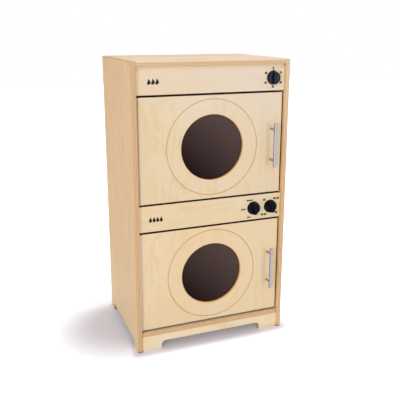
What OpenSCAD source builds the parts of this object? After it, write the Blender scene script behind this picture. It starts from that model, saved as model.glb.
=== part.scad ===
// Stacked play washer and dryer cabinet for a preschool: plywood carcass, two glazed doors on
// full-length hinges, bar pulls, magnetic catches and three turning knobs. Millimetres.
// Origin: centre of the whole object's footprint, on the floor. The doors face -Y, +Z is up.

/* [Cabinet] */
// Width over the side panels
cabinet_w = 520; // [460:1:620]
// Depth from the side panels' front edges to the back
cabinet_d = 380; // [300:1:460]
// Thickness of the plywood boards
board_t = 15; // [12:0.5:18]
// Height of the toe kick under the bottom shelf
kick_h = 50; // [42:1:80]
// Clear height of each door opening
bay_h = 341; // [330:1:420]
// Height of each control fascia
fascia_h = 84; // [76:1:110]
// How far the doors and fascias lie behind the side panels' front edges
front_recess = 12; // [8:0.5:18]
// How far the bottom shelf and toe kick lie behind those edges
base_recess = 6; // [2:0.5:12]
// Radius of the carcass's outer corners
corner_r = 4; // [2:0.5:5]
// Radius of the lesser board edges
arris_r = 1.5; // [0.5:0.25:2.5]
// Thickness of the back panel
back_t = 6; // [4:0.5:8]
// How far the back panel lies inside the carcass's rear edges
back_inset = 3; // [2.5:0.5:10]
// Depth of the rebate that holds the back panel in the boards
rebate_w = 7; // [5:0.5:8]

/* [Base arches] */
// Height of the arched cut-outs above the floor
arch_h = 26; // [16:1:34]
// Radius of the arches' upper corners
arch_r = 14; // [8:1:15]
// Width of each toe kick foot
kick_foot_w = 67; // [40:1:100]
// Depth of each side panel foot
side_foot_d = 45; // [30:1:80]

/* [Doors] */
// Gap above and below each door
door_gap = 6; // [2:0.5:7]
// Gap between a door and the right side panel
latch_gap = 3.5; // [2:0.5:5]
// Diameter of the round window opening
window_d = 209; // [160:1:225]
// Diameter of the decorative groove round the window
groove_d = 305; // [270:1:310]
// Width of that groove
groove_w = 3.5; // [2:0.5:5]
// Depth of that groove
groove_depth = 1.25; // [1:0.25:2.5]
// Chamfer round the window opening
window_chamfer = 1.5; // [0.5:0.25:2.5]
// Thickness of the window
glazing_t = 6; // [3:0.5:8]
// How far the window reaches past the opening, all round
glazing_lip = 10; // [7:0.5:14]
// Number of washers that hold each window
glazing_fixings = 6; // [4:1:10]

/* [Handles] */
// Diameter of the bar
bar_d = 10; // [8:0.5:13]
// Length of the bar
bar_l = 143; // [130:1:200]
// Chamfer at the bar's ends
bar_chamfer = 0.75; // [0.25:0.25:1.5]
// Distance between the posts
post_pitch = 102; // [64:1:110]
// Diameter of the posts
post_d = 7; // [6:0.5:7.5]
// Distance from the door's face to the bar's axis
handle_standoff = 30; // [18:1:40]
// Distance from the door's free edge to the handle
handle_inset = 37; // [28:0.5:50]
// How far the handle sits below the middle of the door
handle_drop = 2.5; // [0:0.5:10]

/* [Knobs] */
// Diameter of the knob's skirt
knob_d = 44.5; // [42:0.5:48]
// Height of the knob
knob_h = 18.5; // [16:0.5:24]
// Height of the skirt
skirt_h = 4; // [3:0.25:6]
// Diameter of the raised centre
knob_core_d = 41.5; // [28:0.5:41.5]
// Height of the raised centre above the skirt
knob_core_h = 8; // [2:0.5:10]
// Width of the finger grip across the knob
grip_w = 12; // [10:0.5:16]
// Radius of the pointer nose on the rim
nose_r = 3; // [2:0.25:4]
// How far the pointer nose passes the rim
nose_reach = 2.5; // [1:0.25:3]
// Distance from the right side panel to the dryer's knob
dryer_dial_inset = 39; // [30:0.5:50]
// Distance from the right side panel to the washer's right knob
washer_dial_inset = 36; // [30:0.5:50]
// Distance between the two washer knobs
dial_pitch = 61.5; // [52:0.5:90]
// Height of the knobs above their fascia's lower edge
dial_h = 40.5; // [32:0.5:44]
// Diameter of the spindles
spindle_d = 6; // [5:0.5:7]
// Outer diameter of the bushings in the fascia
bushing_d = 10; // [9:0.5:12]
// Diameter of the bushings' flanges and of the washers behind them
flange_d = 16; // [14:0.5:20]
// Thickness of the bushings' flanges
flange_t = 1.5; // [1:0.25:2.5]
// Width across the flats of the spindle nuts
nut_af = 10; // [9:0.5:13]
// Thickness of the spindle nuts
nut_t = 5; // [3:0.5:6]
// Length of spindle past its nut
spindle_tail = 2; // [1:0.5:4]
// Thickness of knob left above its spindle
knob_cap = 4; // [2:0.5:5]
// Gap between a knob and its fascia
knob_lift = 0.5; // [0.3:0.1:1]
// Direction of the dryer knob's nose, anticlockwise from the lowest point
dryer_nose_deg = 180; // [0:1:359]
// Direction of the washer's left knob's nose
washer_left_nose_deg = 7; // [0:1:359]
// Direction of the washer's right knob's nose
washer_right_nose_deg = 23; // [0:1:359]

/* [Hinges] */
// Diameter of the hinge barrel
barrel_d = 5; // [4.5:0.25:6]
// Diameter of the hinge pin
hinge_pin_d = 2.2; // [1.6:0.1:2.4]
// Length of one knuckle with its gap
knuckle_pitch = 12.6; // [10:0.1:20]
// Gap between neighbouring knuckles
knuckle_gap = 0.3; // [0.2:0.05:0.5]
// Thickness of the hinge leaves
leaf_t = 1; // [0.8:0.1:1.2]
// Width of each leaf from the pin's axis
leaf_w = 14; // [11:0.5:14]
// How far the pin lies in front of the door's face
pin_lead = 1.5; // [0.5:0.25:2]

/* [Catches] */
// Height of a catch housing
catch_h = 44; // [40:1:60]
// Width of a catch housing
catch_w = 14; // [12:0.5:18]
// Depth of a catch housing
catch_d = 16; // [14:0.5:24]
// Height of a magnet
magnet_h = 14; // [10:1:18]
// Width of a magnet and its pole plates
magnet_w = 8; // [6:0.5:9]
// Depth of a magnet
magnet_d = 11; // [8:0.5:12]
// Thickness of a pole plate
pole_t = 1.5; // [1:0.25:2]
// How far the pole plates stand out of the housing
pole_reach = 0.8; // [0.5:0.1:1.5]
// Height of a strike plate
strike_h = 40; // [32:1:50]
// Width of a strike plate
strike_w = 12; // [10:0.5:16]
// Thickness of a strike plate
strike_t = 1.5; // [1:0.25:2]

/* [Fixings] */
// Diameter of the dowels
dowel_d = 8; // [6:0.5:8]
// Length of the dowels
dowel_l = 28; // [24:1:32]
// Depth of a dowel's hole in a side panel
dowel_depth = 9; // [7:0.5:10]
// Distance from a shelf's front and rear edges to its outer dowels
dowel_end = 30; // [20:1:60]
// Distance from a fascia's long edges to its dowels
fascia_dowel_inset = 21; // [14:1:30]
// Distance from the toe kick's long edges to its dowels
kick_dowel_inset = 14; // [10:1:14]
// Distance from the corners of each storey to the back panel's screws
back_screw_inset = 70; // [40:1:120]
// Shank diameter of the wood screws
wood_screw_d = 3; // [2.5:0.25:3.5]
// Head diameter of the pan-headed wood screws
pan_head_d = 6.5; // [5.5:0.25:8]
// Head height of the pan-headed wood screws
pan_head_h = 2; // [1.5:0.25:2.5]
// Head diameter of the countersunk screws
csk_head_d = 5.6; // [5:0.2:6]
// Depth that each screw reaches into a board
screw_bite = 9; // [6:0.5:9]
// Shank diameter of the handle bolts
bolt_d = 4; // [3:0.5:4]
// Head diameter of the handle bolts
bolt_head_d = 7.5; // [6.5:0.25:9]
// Head height of the handle bolts
bolt_head_h = 2.5; // [1.5:0.25:3]
// Length of a handle bolt inside its post
bolt_bite = 10; // [6:0.5:10]
// Outer diameter of the window washers
washer_d = 16; // [14:0.5:20]
// Thickness of the window and spindle washers
washer_t = 1.2; // [0.8:0.1:2]

/* [Clearances] */
// Radial clearance of turning pins and spindles
running_fit = 0.05; // [0.02:0.01:0.1]
// Clearance of glued, driven and screwed pieces
snug_fit = 0.05; // [0.02:0.01:0.1]
// Clearance round the window, back panel and magnets
seat_fit = 0.4; // [0.2:0.1:0.8]
// Gap between closed faces that move apart
touch_gap = 0.3; // [0.2:0.05:0.5]
// End play of the knobs' spindles
end_play = 0.1; // [0.05:0.05:0.3]

/* [Hidden] */
$fn = 48;

birch = "#ebd5b0";
birch_edge = "#dcb98e";
smoke = "#433236";
steel = "#c2c1c9";
zinc = "#9a9aa0";
black = "#15161a";
white = "#e8e6e0";
magnet_grey = "#3a3a3c";

// Past a face that a cut passes through
over = 1;
// Depth of a blind hole past the end of the fixing in it
hole_spare = 1;
// Least wood between a screw's hole and the window's seat
screw_wall = 1;
// Top diameter of a pan head over its lower one
pan_taper = 0.8;

// Heights of the storeys
z_floor = kick_h + board_t;
z_washer_fascia = z_floor + bay_h;
z_dryer_bay = z_washer_fascia + fascia_h;
z_dryer_fascia = z_dryer_bay + bay_h;
z_under_top = z_dryer_fascia + fascia_h;
cabinet_h = z_under_top + board_t;

// Depths, with the footprint centred on the whole object
handle_reach = handle_standoff + bar_d / 2 - front_recess;
knob_reach = knob_lift + knob_h - front_recess;
front_reach = max(handle_reach, knob_reach);
y_front = (front_reach - cabinet_d) / 2;
y_back = y_front + cabinet_d;
y_face = y_front + front_recess;
y_inside = y_face + board_t;
y_base = y_front + base_recess;
y_panel = y_back - back_inset - back_t;

// Widths
x_side = cabinet_w / 2;
x_in = x_side - board_t;

// Doors
barrel_room = 0.25;
hinge_gap = barrel_d + 2 * barrel_room;
door_x0 = -x_in + hinge_gap;
door_x1 = x_in - latch_gap;
door_w = door_x1 - door_x0;
door_h = bay_h - 2 * door_gap;
door_x = (door_x0 + door_x1) / 2;
glazing_d = window_d + 2 * glazing_lip;
glazing_rebate = glazing_t + snug_fit;
fixing_r = glazing_d / 2 + seat_fit + wood_screw_d / 2 + screw_wall;

// Hinges
knuckles = 2 * floor(door_h / knuckle_pitch / 2);
hinge_l = knuckles * knuckle_pitch;
knuckles_per_screw = 4;
leaf_screws = floor(knuckles / knuckles_per_screw);
x_pin = -x_in + hinge_gap / 2;
y_pin = y_face - pin_lead;
leaf_root = barrel_d / 2 + barrel_room;
y_leaf_screw = y_pin + (leaf_root + leaf_w) / 2;

// Handles and catches
x_handle = door_x1 - handle_inset;
y_bar = y_face - handle_standoff;
y_strike = y_inside + strike_t;
y_poles = y_strike + touch_gap;
y_housing = y_poles + pole_reach;
x_catch = x_in - catch_w / 2;
x_strike = door_x1 - strike_w / 2 - arris_r;
pocket_h = magnet_h + 2 * pole_t + seat_fit;
catch_screw_z = (catch_h + pocket_h) / 4;

// Knobs: the centre of each dial
x_washer_dial = x_in - washer_dial_inset;
dryer_dial = [x_in - dryer_dial_inset, y_face, z_dryer_fascia + dial_h];
washer_right_dial = [x_washer_dial, y_face, z_washer_fascia + dial_h];
washer_left_dial = [x_washer_dial - dial_pitch, y_face, z_washer_fascia + dial_h];
spindle_in_knob = knob_h - knob_cap;
nut_d = nut_af / cos(30);
y_flange = y_inside + flange_t;
y_washer = y_flange + end_play;
y_nut = y_washer + washer_t;

// Dowel points, as [y, z], grouped by the board that they hold
y_shelf_mid = (y_inside + y_panel) / 2;
y_fascia_mid = y_face + board_t / 2;
top_dowels = [for (y = [y_front + dowel_end, y_shelf_mid, y_panel - dowel_end])
    [y, cabinet_h - board_t / 2]];
middle_dowels = [for (y = [y_inside + dowel_end, y_shelf_mid, y_panel - dowel_end])
    [y, z_dryer_bay - board_t / 2]];
bottom_dowels = [for (y = [y_base + dowel_end, y_shelf_mid, y_panel - dowel_end])
    [y, kick_h + board_t / 2]];
fascia_dowel_heights = [fascia_dowel_inset, fascia_h - fascia_dowel_inset];
dryer_fascia_dowels = [for (z = fascia_dowel_heights) [y_fascia_mid, z_dryer_fascia + z]];
washer_fascia_dowels = [for (z = fascia_dowel_heights) [y_fascia_mid, z_washer_fascia + z]];
kick_dowels = [for (z = [kick_dowel_inset, kick_h - kick_dowel_inset])
    [y_base + board_t / 2, z]];
all_dowels = concat(top_dowels, middle_dowels, bottom_dowels, dryer_fascia_dowels,
    washer_fascia_dowels, kick_dowels);

// Back panel screws, as [x, z]: along both shelves and up both sides
back_screws = concat(
    [for (s = [-1, 0, 1], z = [z_dryer_bay, z_floor])
        [s * (x_in - back_screw_inset), z - board_t / 2]],
    [for (s = [-1, 1], z = [z_floor, z_dryer_bay], rise = [back_screw_inset, bay_h - back_screw_inset])
        [s * (x_in + rebate_w / 2), z + rise]]
);

// ---- Shared shapes ----

// Round-over cutter along +Z for an outer corner at the origin, with the board in -X and -Y
module edge_cutter(l, r) {
    translate([-r, -r, -over]) difference() {
        cube([r + over, r + over, l + 2 * over]);
        translate([0, 0, -over]) cylinder(r = r, h = l + 4 * over);
    }
}

// Round-over cutter along +X. It turns the cutter from the rear upper edge, anticlockwise as
// seen from +X: 90 degrees for the front upper edge, 180 for the front lower edge.
module edge_cutter_x(l, r, turn = 0) {
    rotate([90, 0, 90]) rotate(turn) edge_cutter(l, r);
}

// Outline of an arch over the given span, standing on the origin's X axis
module arch_outline(span) {
    translate([0, -over]) square([span, arch_h - arch_r + over]);
    translate([arch_r, -over]) square([span - 2 * arch_r, arch_h + over]);
    for (x = [arch_r, span - arch_r]) translate([x, arch_h - arch_r]) circle(r = arch_r);
}

// Pin along +Y from the origin
module pin_y(d, l) {
    rotate([-90, 0, 0]) cylinder(d = d, h = l);
}

// Pin along +X from the origin
module pin_x(d, l) {
    rotate([0, 90, 0]) cylinder(d = d, h = l);
}

// Dowel holes at the given [y, z] points, into a board's ends at both sides of the cabinet
module board_dowel_holes(points) {
    depth = dowel_l - dowel_depth + hole_spare;
    for (p = points, s = [-1, 1])
        translate([s > 0 ? x_in - depth : -x_in - over, p[0], p[1]])
            pin_x(dowel_d + 2 * snug_fit, depth + over);
}

// Holes in a side panel, for the panel at the right (s = 1) or the left (s = -1)
module side_dowel_holes(s) {
    depth = dowel_depth + hole_spare;
    for (p = all_dowels)
        translate([s > 0 ? x_in - over : -x_in - depth, p[0], p[1]])
            pin_x(dowel_d + 2 * snug_fit, depth + over);
}

// Holes for the back panel screws, from the panel's rear face into the boards
module back_screw_holes() {
    for (p = back_screws) translate([p[0], y_panel - screw_bite, p[1]])
        pin_y(wood_screw_d + 2 * snug_fit, screw_bite + back_t + over);
}

// Screw with a pan head: the head on +Z at the origin, the shank along -Z
module pan_screw(d, l, head_d = pan_head_d, head_h = pan_head_h) {
    translate([0, 0, -l]) cylinder(d = d, h = l);
    cylinder(d1 = head_d, d2 = pan_taper * head_d, h = head_h);
}

// Countersunk screw: the flat top of its head at the origin, the shank along -Z
module csk_screw(d, l, sink, play = 0) {
    translate([0, 0, -sink]) cylinder(d1 = d + 2 * play, d2 = csk_head_d + 2 * play, h = sink);
    translate([0, 0, -l]) cylinder(d = d + 2 * play, h = l - sink / 2);
}

// Places its children at each hinge screw's height above a bay's floor, with X and Y at zero
module at_leaf_screws(z_bay) {
    for (i = [0 : leaf_screws - 1])
        translate([0, 0, z_bay + door_gap + door_h / 2
            + (i - (leaf_screws - 1) / 2) * knuckles_per_screw * knuckle_pitch])
            children();
}

// ---- Carcass ----

module side_panel(s) {
    difference() {
        translate([s > 0 ? x_in : -x_side, 0, 0]) rotate([90, 0, 90])
            linear_extrude(board_t) difference() {
                translate([y_front, 0]) square([cabinet_d, cabinet_h]);
                translate([y_front + side_foot_d, 0])
                    arch_outline(cabinet_d - 2 * side_foot_d);
            }
        if (s > 0) side_edges();
        else mirror([1, 0, 0]) side_edges();
        top_edges(x_side);
        translate([s > 0 ? x_in - over : -x_in - rebate_w, y_panel, kick_h])
            cube([rebate_w + over, y_back - y_panel + over, z_under_top + rebate_w - kick_h]);
        side_dowel_holes(s);
        back_screw_holes();
        if (s < 0) for (z = [z_floor, z_dryer_bay])
            at_leaf_screws(z) translate([-x_in - screw_bite, y_leaf_screw, 0])
                pin_x(wood_screw_d + 2 * snug_fit, screw_bite + over);
        if (s > 0) for (z = [z_floor, z_dryer_bay]) catch_screw_holes(z);
    }
}

// Round-over cutters for the upright and upper edges of the right side panel
module side_edges() {
    translate([x_side, y_front, 0]) rotate(-90) edge_cutter(cabinet_h, corner_r);
    translate([x_side, y_back, 0]) edge_cutter(cabinet_h, corner_r);
    translate([x_in, y_front, 0]) rotate(180) edge_cutter(z_under_top - over, arris_r);
    translate([x_side, y_back, cabinet_h]) rotate([90, 0, 0]) edge_cutter(cabinet_d, corner_r);
}

// Round-over cutters for the cabinet's front and rear upper edges, out to x either side
module top_edges(x) {
    translate([-x, y_front, cabinet_h]) edge_cutter_x(2 * x, corner_r, 90);
    translate([-x, y_back, cabinet_h]) edge_cutter_x(2 * x, corner_r);
}

module left_side_panel() {
    color(birch) side_panel(-1);
}

module right_side_panel() {
    color(birch) side_panel(1);
}

module top_panel() {
    color(birch) difference() {
        translate([-x_in, y_front, z_under_top]) cube([2 * x_in, cabinet_d, board_t]);
        top_edges(x_in);
        translate([-x_in - over, y_panel, z_under_top - over])
            cube([2 * x_in + 2 * over, y_back - y_panel + over, rebate_w + over]);
        board_dowel_holes(top_dowels);
    }
}

module middle_shelf() {
    color(birch) difference() {
        translate([-x_in, y_inside, z_dryer_bay - board_t])
            cube([2 * x_in, y_panel - y_inside, board_t]);
        board_dowel_holes(middle_dowels);
        back_screw_holes();
    }
}

module bottom_shelf() {
    color(birch) difference() {
        translate([-x_in, y_base, kick_h]) cube([2 * x_in, y_panel - y_base, board_t]);
        translate([-x_in, y_base, z_floor]) edge_cutter_x(2 * x_in, arris_r, 90);
        board_dowel_holes(bottom_dowels);
        back_screw_holes();
    }
}

module back_panel() {
    half_w = x_in + rebate_w - seat_fit;
    color(birch) difference() {
        translate([-half_w, y_panel, kick_h + seat_fit])
            cube([2 * half_w, back_t, z_under_top + rebate_w - kick_h - 2 * seat_fit]);
        back_screw_holes();
    }
}

module toe_kick() {
    color(birch) difference() {
        translate([-x_in, y_base + board_t, 0]) rotate([90, 0, 0])
            linear_extrude(board_t) difference() {
                square([2 * x_in, kick_h]);
                translate([kick_foot_w, 0]) arch_outline(2 * x_in - 2 * kick_foot_w);
            }
        board_dowel_holes(kick_dowels);
    }
}

// Fascia over a door at the given height, with a second door above it where there is one
module fascia(z, dowels, dials, door_above = false) {
    color(birch) difference() {
        translate([-x_in, y_face, z]) cube([2 * x_in, board_t, fascia_h]);
        translate([-x_in, y_face, z]) edge_cutter_x(2 * x_in, arris_r, 180);
        if (door_above) translate([-x_in, y_face, z + fascia_h])
            edge_cutter_x(2 * x_in, arris_r, 90);
        board_dowel_holes(dowels);
        for (p = dials) translate(p - [0, over, 0])
            pin_y(bushing_d + 2 * snug_fit, board_t + 2 * over);
    }
}

module dryer_fascia() {
    fascia(z_dryer_fascia, dryer_fascia_dowels, [dryer_dial]);
}

module washer_fascia() {
    fascia(z_washer_fascia, washer_fascia_dowels, [washer_left_dial, washer_right_dial], true);
}

module carcass_dowels() {
    color(birch_edge) for (p = all_dowels, s = [-1, 1])
        translate([s > 0 ? x_in + dowel_depth - dowel_l : -x_in - dowel_depth, p[0], p[1]])
            pin_x(dowel_d, dowel_l);
}

module back_panel_screws() {
    color(zinc) for (p = back_screws) translate([p[0], y_panel + back_t, p[1]])
        rotate([-90, 0, 0]) pan_screw(wood_screw_d, back_t + screw_bite - hole_spare);
}

// ---- Hinges ----

// One leaf with its knuckles, before the screw holes: s = -1 for the frame's, 1 for the door's
module leaf(z_bay, s) {
    z0 = z_bay + door_gap + (door_h - hinge_l) / 2;
    x_leaf = s > 0 ? door_x0 - leaf_t : -x_in;
    difference() {
        union() {
            translate([x_leaf, y_pin + leaf_root, z0])
                cube([leaf_t, leaf_w - leaf_root, hinge_l]);
            for (i = [s > 0 ? 1 : 0 : 2 : knuckles - 1])
                translate([0, 0, z0 + i * knuckle_pitch + knuckle_gap / 2]) {
                    translate([x_pin, y_pin, 0])
                        cylinder(d = barrel_d, h = knuckle_pitch - knuckle_gap);
                    translate([x_leaf, y_pin, 0])
                        cube([leaf_t, leaf_root + over, knuckle_pitch - knuckle_gap]);
                }
        }
        translate([x_pin, y_pin, z0 - over])
            cylinder(d = hinge_pin_d + 2 * running_fit, h = hinge_l + 2 * over);
    }
}

// Frame leaf screws: heads flush with the leaf, shanks into the left side panel
module frame_screws(z_bay, play = 0) {
    at_leaf_screws(z_bay) translate([-x_in + leaf_t, y_leaf_screw, 0]) rotate([0, 90, 0])
        csk_screw(wood_screw_d, leaf_t + screw_bite - hole_spare, leaf_t, play);
}

// Door leaf screws: heads flush with the leaf, shanks into the door's hinge edge
module door_screws(z_bay, play = 0) {
    at_leaf_screws(z_bay) translate([door_x0 - leaf_t, y_leaf_screw, 0]) rotate([0, -90, 0])
        csk_screw(wood_screw_d, leaf_t + screw_bite - hole_spare, leaf_t, play);
}

module frame_leaf(z_bay) {
    color(steel) difference() {
        leaf(z_bay, -1);
        frame_screws(z_bay, snug_fit);
    }
}

module door_leaf(z_bay) {
    color(steel) difference() {
        leaf(z_bay, 1);
        door_screws(z_bay, snug_fit);
    }
}

module hinge_pin(z_bay) {
    color(zinc) translate([x_pin, y_pin, z_bay + door_gap + (door_h - hinge_l) / 2])
        cylinder(d = hinge_pin_d, h = hinge_l);
}

module door_leaf_screws(z_bay) {
    color(zinc) door_screws(z_bay);
}

module frame_leaf_screws() {
    color(zinc) for (z = [z_floor, z_dryer_bay]) frame_screws(z);
}

// ---- Doors ----

module door_panel(z_bay) {
    z0 = z_bay + door_gap;
    z_mid = z0 + door_h / 2;
    color(birch) difference() {
        translate([door_x0, y_face, z0]) cube([door_w, board_t, door_h]);
        translate([door_x0, y_face, z0]) rotate(180) edge_cutter(door_h, arris_r);
        translate([door_x1, y_face, z0]) rotate(-90) edge_cutter(door_h, arris_r);
        translate([door_x0, y_face, z0 + door_h]) edge_cutter_x(door_w, arris_r, 90);
        translate([door_x0, y_face, z0]) edge_cutter_x(door_w, arris_r, 180);
        translate([door_x, y_face, z_mid]) rotate([-90, 0, 0]) {
            translate([0, 0, -over]) cylinder(d = window_d, h = board_t + 2 * over);
            translate([0, 0, board_t - glazing_rebate])
                cylinder(d = glazing_d + 2 * seat_fit, h = glazing_rebate + over);
            translate([0, 0, -over])
                cylinder(d1 = window_d + 2 * (window_chamfer + over), d2 = window_d,
                    h = window_chamfer + over);
            rotate_extrude() translate([groove_d / 2, 0])
                polygon([[-groove_w / 2, 0], [-groove_w / 2, -over], [groove_w / 2, -over],
                    [groove_w / 2, 0], [0, groove_depth]]);
        }
        at_fixings(z_mid) translate([0, -screw_bite, 0])
            pin_y(wood_screw_d + 2 * snug_fit, screw_bite + over);
        at_leaf_screws(z_bay) translate([door_x0 - over, y_leaf_screw, 0])
            pin_x(wood_screw_d + 2 * snug_fit, screw_bite + over);
        at_posts(z_mid) translate([0, -over, 0])
            pin_y(bolt_d + 2 * snug_fit, board_t + 2 * over);
        translate([x_strike, y_inside - screw_bite, z_mid])
            pin_y(wood_screw_d + 2 * snug_fit, screw_bite + over);
    }
}

// Places its children on the door's inner face, round the window
module at_fixings(z_mid) {
    for (i = [0 : glazing_fixings - 1]) {
        a = (i + 0.5) * 360 / glazing_fixings;
        translate([door_x + fixing_r * cos(a), y_inside, z_mid + fixing_r * sin(a)]) children();
    }
}

// Places its children on the door's outer face, at the handle's posts
module at_posts(z_mid) {
    for (s = [-1, 1])
        translate([x_handle, y_face, z_mid - handle_drop + s * post_pitch / 2]) children();
}

module door_window(z_bay) {
    color(smoke) translate([door_x, y_inside - glazing_t, z_bay + bay_h / 2])
        pin_y(glazing_d, glazing_t);
}

module window_washers(z_bay) {
    color(zinc) at_fixings(z_bay + bay_h / 2) difference() {
        pin_y(washer_d, washer_t);
        translate([0, -over, 0]) pin_y(wood_screw_d + 2 * snug_fit, washer_t + 2 * over);
    }
}

module window_screws(z_bay) {
    color(zinc) at_fixings(z_bay + bay_h / 2) translate([0, washer_t, 0]) rotate([-90, 0, 0])
        pan_screw(wood_screw_d, washer_t + screw_bite - hole_spare);
}

module handle_bar(z_bay) {
    z_bar = z_bay + bay_h / 2 - handle_drop;
    color(steel) difference() {
        for (s = [0, 1]) translate([x_handle, y_bar, z_bar]) mirror([0, 0, s]) {
            translate([0, 0, -over]) cylinder(d = bar_d, h = bar_l / 2 - bar_chamfer + over);
            translate([0, 0, bar_l / 2 - bar_chamfer])
                cylinder(d1 = bar_d, d2 = bar_d - 2 * bar_chamfer, h = bar_chamfer);
        }
        for (s = [-1, 1]) translate([x_handle, y_bar, z_bar + s * post_pitch / 2])
            pin_y(post_d + 2 * snug_fit, bar_d);
    }
}

module handle_posts(z_bay) {
    color(steel) at_posts(z_bay + bay_h / 2) difference() {
        translate([0, -handle_standoff + snug_fit, 0])
            pin_y(post_d, handle_standoff - snug_fit);
        translate([0, -bolt_bite - hole_spare, 0])
            pin_y(bolt_d + 2 * snug_fit, bolt_bite + hole_spare + over);
    }
}

module handle_bolts(z_bay) {
    color(zinc) at_posts(z_bay + bay_h / 2) translate([0, board_t, 0]) rotate([-90, 0, 0])
        pan_screw(bolt_d, board_t + bolt_bite, bolt_head_d, bolt_head_h);
}

// ---- Magnetic catches ----

module strike_plate(z_bay) {
    color(zinc) difference() {
        translate([x_strike - strike_w / 2, y_inside, z_bay + bay_h / 2 - strike_h / 2])
            cube([strike_w, strike_t, strike_h]);
        strike_fixing(z_bay, snug_fit);
    }
}

module strike_fixing(z_bay, play = 0) {
    translate([x_strike, y_strike, z_bay + bay_h / 2]) rotate([-90, 0, 0])
        csk_screw(wood_screw_d, strike_t + screw_bite - hole_spare, strike_t, play);
}

module strike_screw(z_bay) {
    color(zinc) strike_fixing(z_bay);
}

module catch_housing(z_bay) {
    z_mid = z_bay + bay_h / 2;
    color(white) difference() {
        translate([x_in - catch_w, y_housing, z_mid - catch_h / 2])
            cube([catch_w, catch_d, catch_h]);
        translate([x_catch - (magnet_w + seat_fit) / 2, y_housing - over, z_mid - pocket_h / 2])
            cube([magnet_w + seat_fit, magnet_d + over, pocket_h]);
        catch_screw_holes(z_bay);
    }
}

// Holes through a catch housing and into the right side panel
module catch_screw_holes(z_bay) {
    for (s = [-1, 1])
        translate([x_in - catch_w - over, y_housing + catch_d / 2,
            z_bay + bay_h / 2 + s * catch_screw_z])
            pin_x(wood_screw_d + 2 * snug_fit, catch_w + screw_bite + over);
}

module catch_screws() {
    color(zinc) for (z_bay = [z_floor, z_dryer_bay], s = [-1, 1])
        translate([x_in - catch_w, y_housing + catch_d / 2,
            z_bay + bay_h / 2 + s * catch_screw_z]) rotate([0, -90, 0])
            pan_screw(wood_screw_d, catch_w + screw_bite - hole_spare);
}

module catch_magnets() {
    color(magnet_grey) for (z_bay = [z_floor, z_dryer_bay])
        translate([x_catch - magnet_w / 2, y_housing, z_bay + bay_h / 2 - magnet_h / 2])
            cube([magnet_w, magnet_d, magnet_h]);
}

module catch_pole_plates() {
    color(steel) for (z_bay = [z_floor, z_dryer_bay], s = [-1, 1])
        translate([x_catch, y_poles + (magnet_d + pole_reach) / 2,
            z_bay + bay_h / 2 + s * (magnet_h + pole_t) / 2])
            cube([magnet_w, magnet_d + pole_reach, pole_t], center = true);
}

// ---- Knobs ----

// Knob at a dial's centre, its nose turned anticlockwise from the lowest point
module knob(dial, nose_deg) {
    core_r = knob_core_d / 2;
    color(black) translate(dial - [0, knob_lift, 0]) rotate([90, 0, 0]) rotate(nose_deg)
        difference() {
            union() {
                cylinder(d = knob_d, h = skirt_h - arris_r);
                translate([0, 0, skirt_h - arris_r])
                    cylinder(d1 = knob_d, d2 = knob_d - 2 * arris_r, h = arris_r);
                translate([0, 0, skirt_h])
                    cylinder(r1 = core_r, r2 = core_r - arris_r, h = knob_core_h);
                intersection() {
                    cylinder(r1 = core_r, r2 = core_r - arris_r, h = knob_h);
                    translate([-grip_w / 2, -core_r - over, 0])
                        cube([grip_w, 2 * core_r + 2 * over, knob_h]);
                }
                translate([0, nose_r - nose_reach - knob_d / 2, 0])
                    cylinder(r = nose_r, h = skirt_h - arris_r);
            }
            translate([0, 0, -over])
                cylinder(d = spindle_d + 2 * snug_fit, h = spindle_in_knob + over);
        }
}

module spindle(dial) {
    color(steel) translate([dial[0], dial[1] - knob_lift - spindle_in_knob + snug_fit, dial[2]])
        pin_y(spindle_d, spindle_in_knob - snug_fit + knob_lift
            + y_nut + nut_t + spindle_tail - y_face);
}

module spindle_washer(dial) {
    color(zinc) translate([dial[0], y_washer, dial[2]]) difference() {
        pin_y(flange_d, washer_t);
        translate([0, -over, 0]) pin_y(spindle_d + 2 * snug_fit, washer_t + 2 * over);
    }
}

module spindle_nut(dial) {
    color(zinc) translate([dial[0], y_nut, dial[2]]) rotate([-90, 0, 0]) difference() {
        cylinder(d = nut_d, h = nut_t, $fn = 6);
        translate([0, 0, -over]) cylinder(d = spindle_d + 2 * snug_fit, h = nut_t + 2 * over);
    }
}

module knob_bushings() {
    color(white) for (p = [dryer_dial, washer_left_dial, washer_right_dial])
        translate(p) difference() {
            union() {
                pin_y(bushing_d, board_t);
                translate([0, board_t, 0]) pin_y(flange_d, flange_t);
            }
            translate([0, -over, 0])
                pin_y(spindle_d + 2 * running_fit, board_t + flange_t + 2 * over);
        }
}

// ---- Nodes ----

left_side_panel();
right_side_panel();
top_panel();
middle_shelf();
bottom_shelf();
back_panel();
toe_kick();
dryer_fascia();
washer_fascia();
carcass_dowels();
back_panel_screws();
knob_bushings();
frame_leaf_screws();
catch_magnets();
catch_pole_plates();
catch_screws();

frame_leaf(z_dryer_bay);  // dryer_frame_leaf
hinge_pin(z_dryer_bay);  // dryer_hinge_pin
catch_housing(z_dryer_bay);  // dryer_catch_housing
frame_leaf(z_floor);  // washer_frame_leaf
hinge_pin(z_floor);  // washer_hinge_pin
catch_housing(z_floor);  // washer_catch_housing

door_panel(z_dryer_bay);  // dryer_door_panel
door_window(z_dryer_bay);  // dryer_window
window_washers(z_dryer_bay);  // dryer_window_washers
window_screws(z_dryer_bay);  // dryer_window_screws
door_leaf(z_dryer_bay);  // dryer_door_leaf
door_leaf_screws(z_dryer_bay);  // dryer_leaf_screws
handle_bar(z_dryer_bay);  // dryer_handle_bar
handle_posts(z_dryer_bay);  // dryer_handle_posts
handle_bolts(z_dryer_bay);  // dryer_handle_bolts
strike_plate(z_dryer_bay);  // dryer_strike_plate
strike_screw(z_dryer_bay);  // dryer_strike_screw

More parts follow.
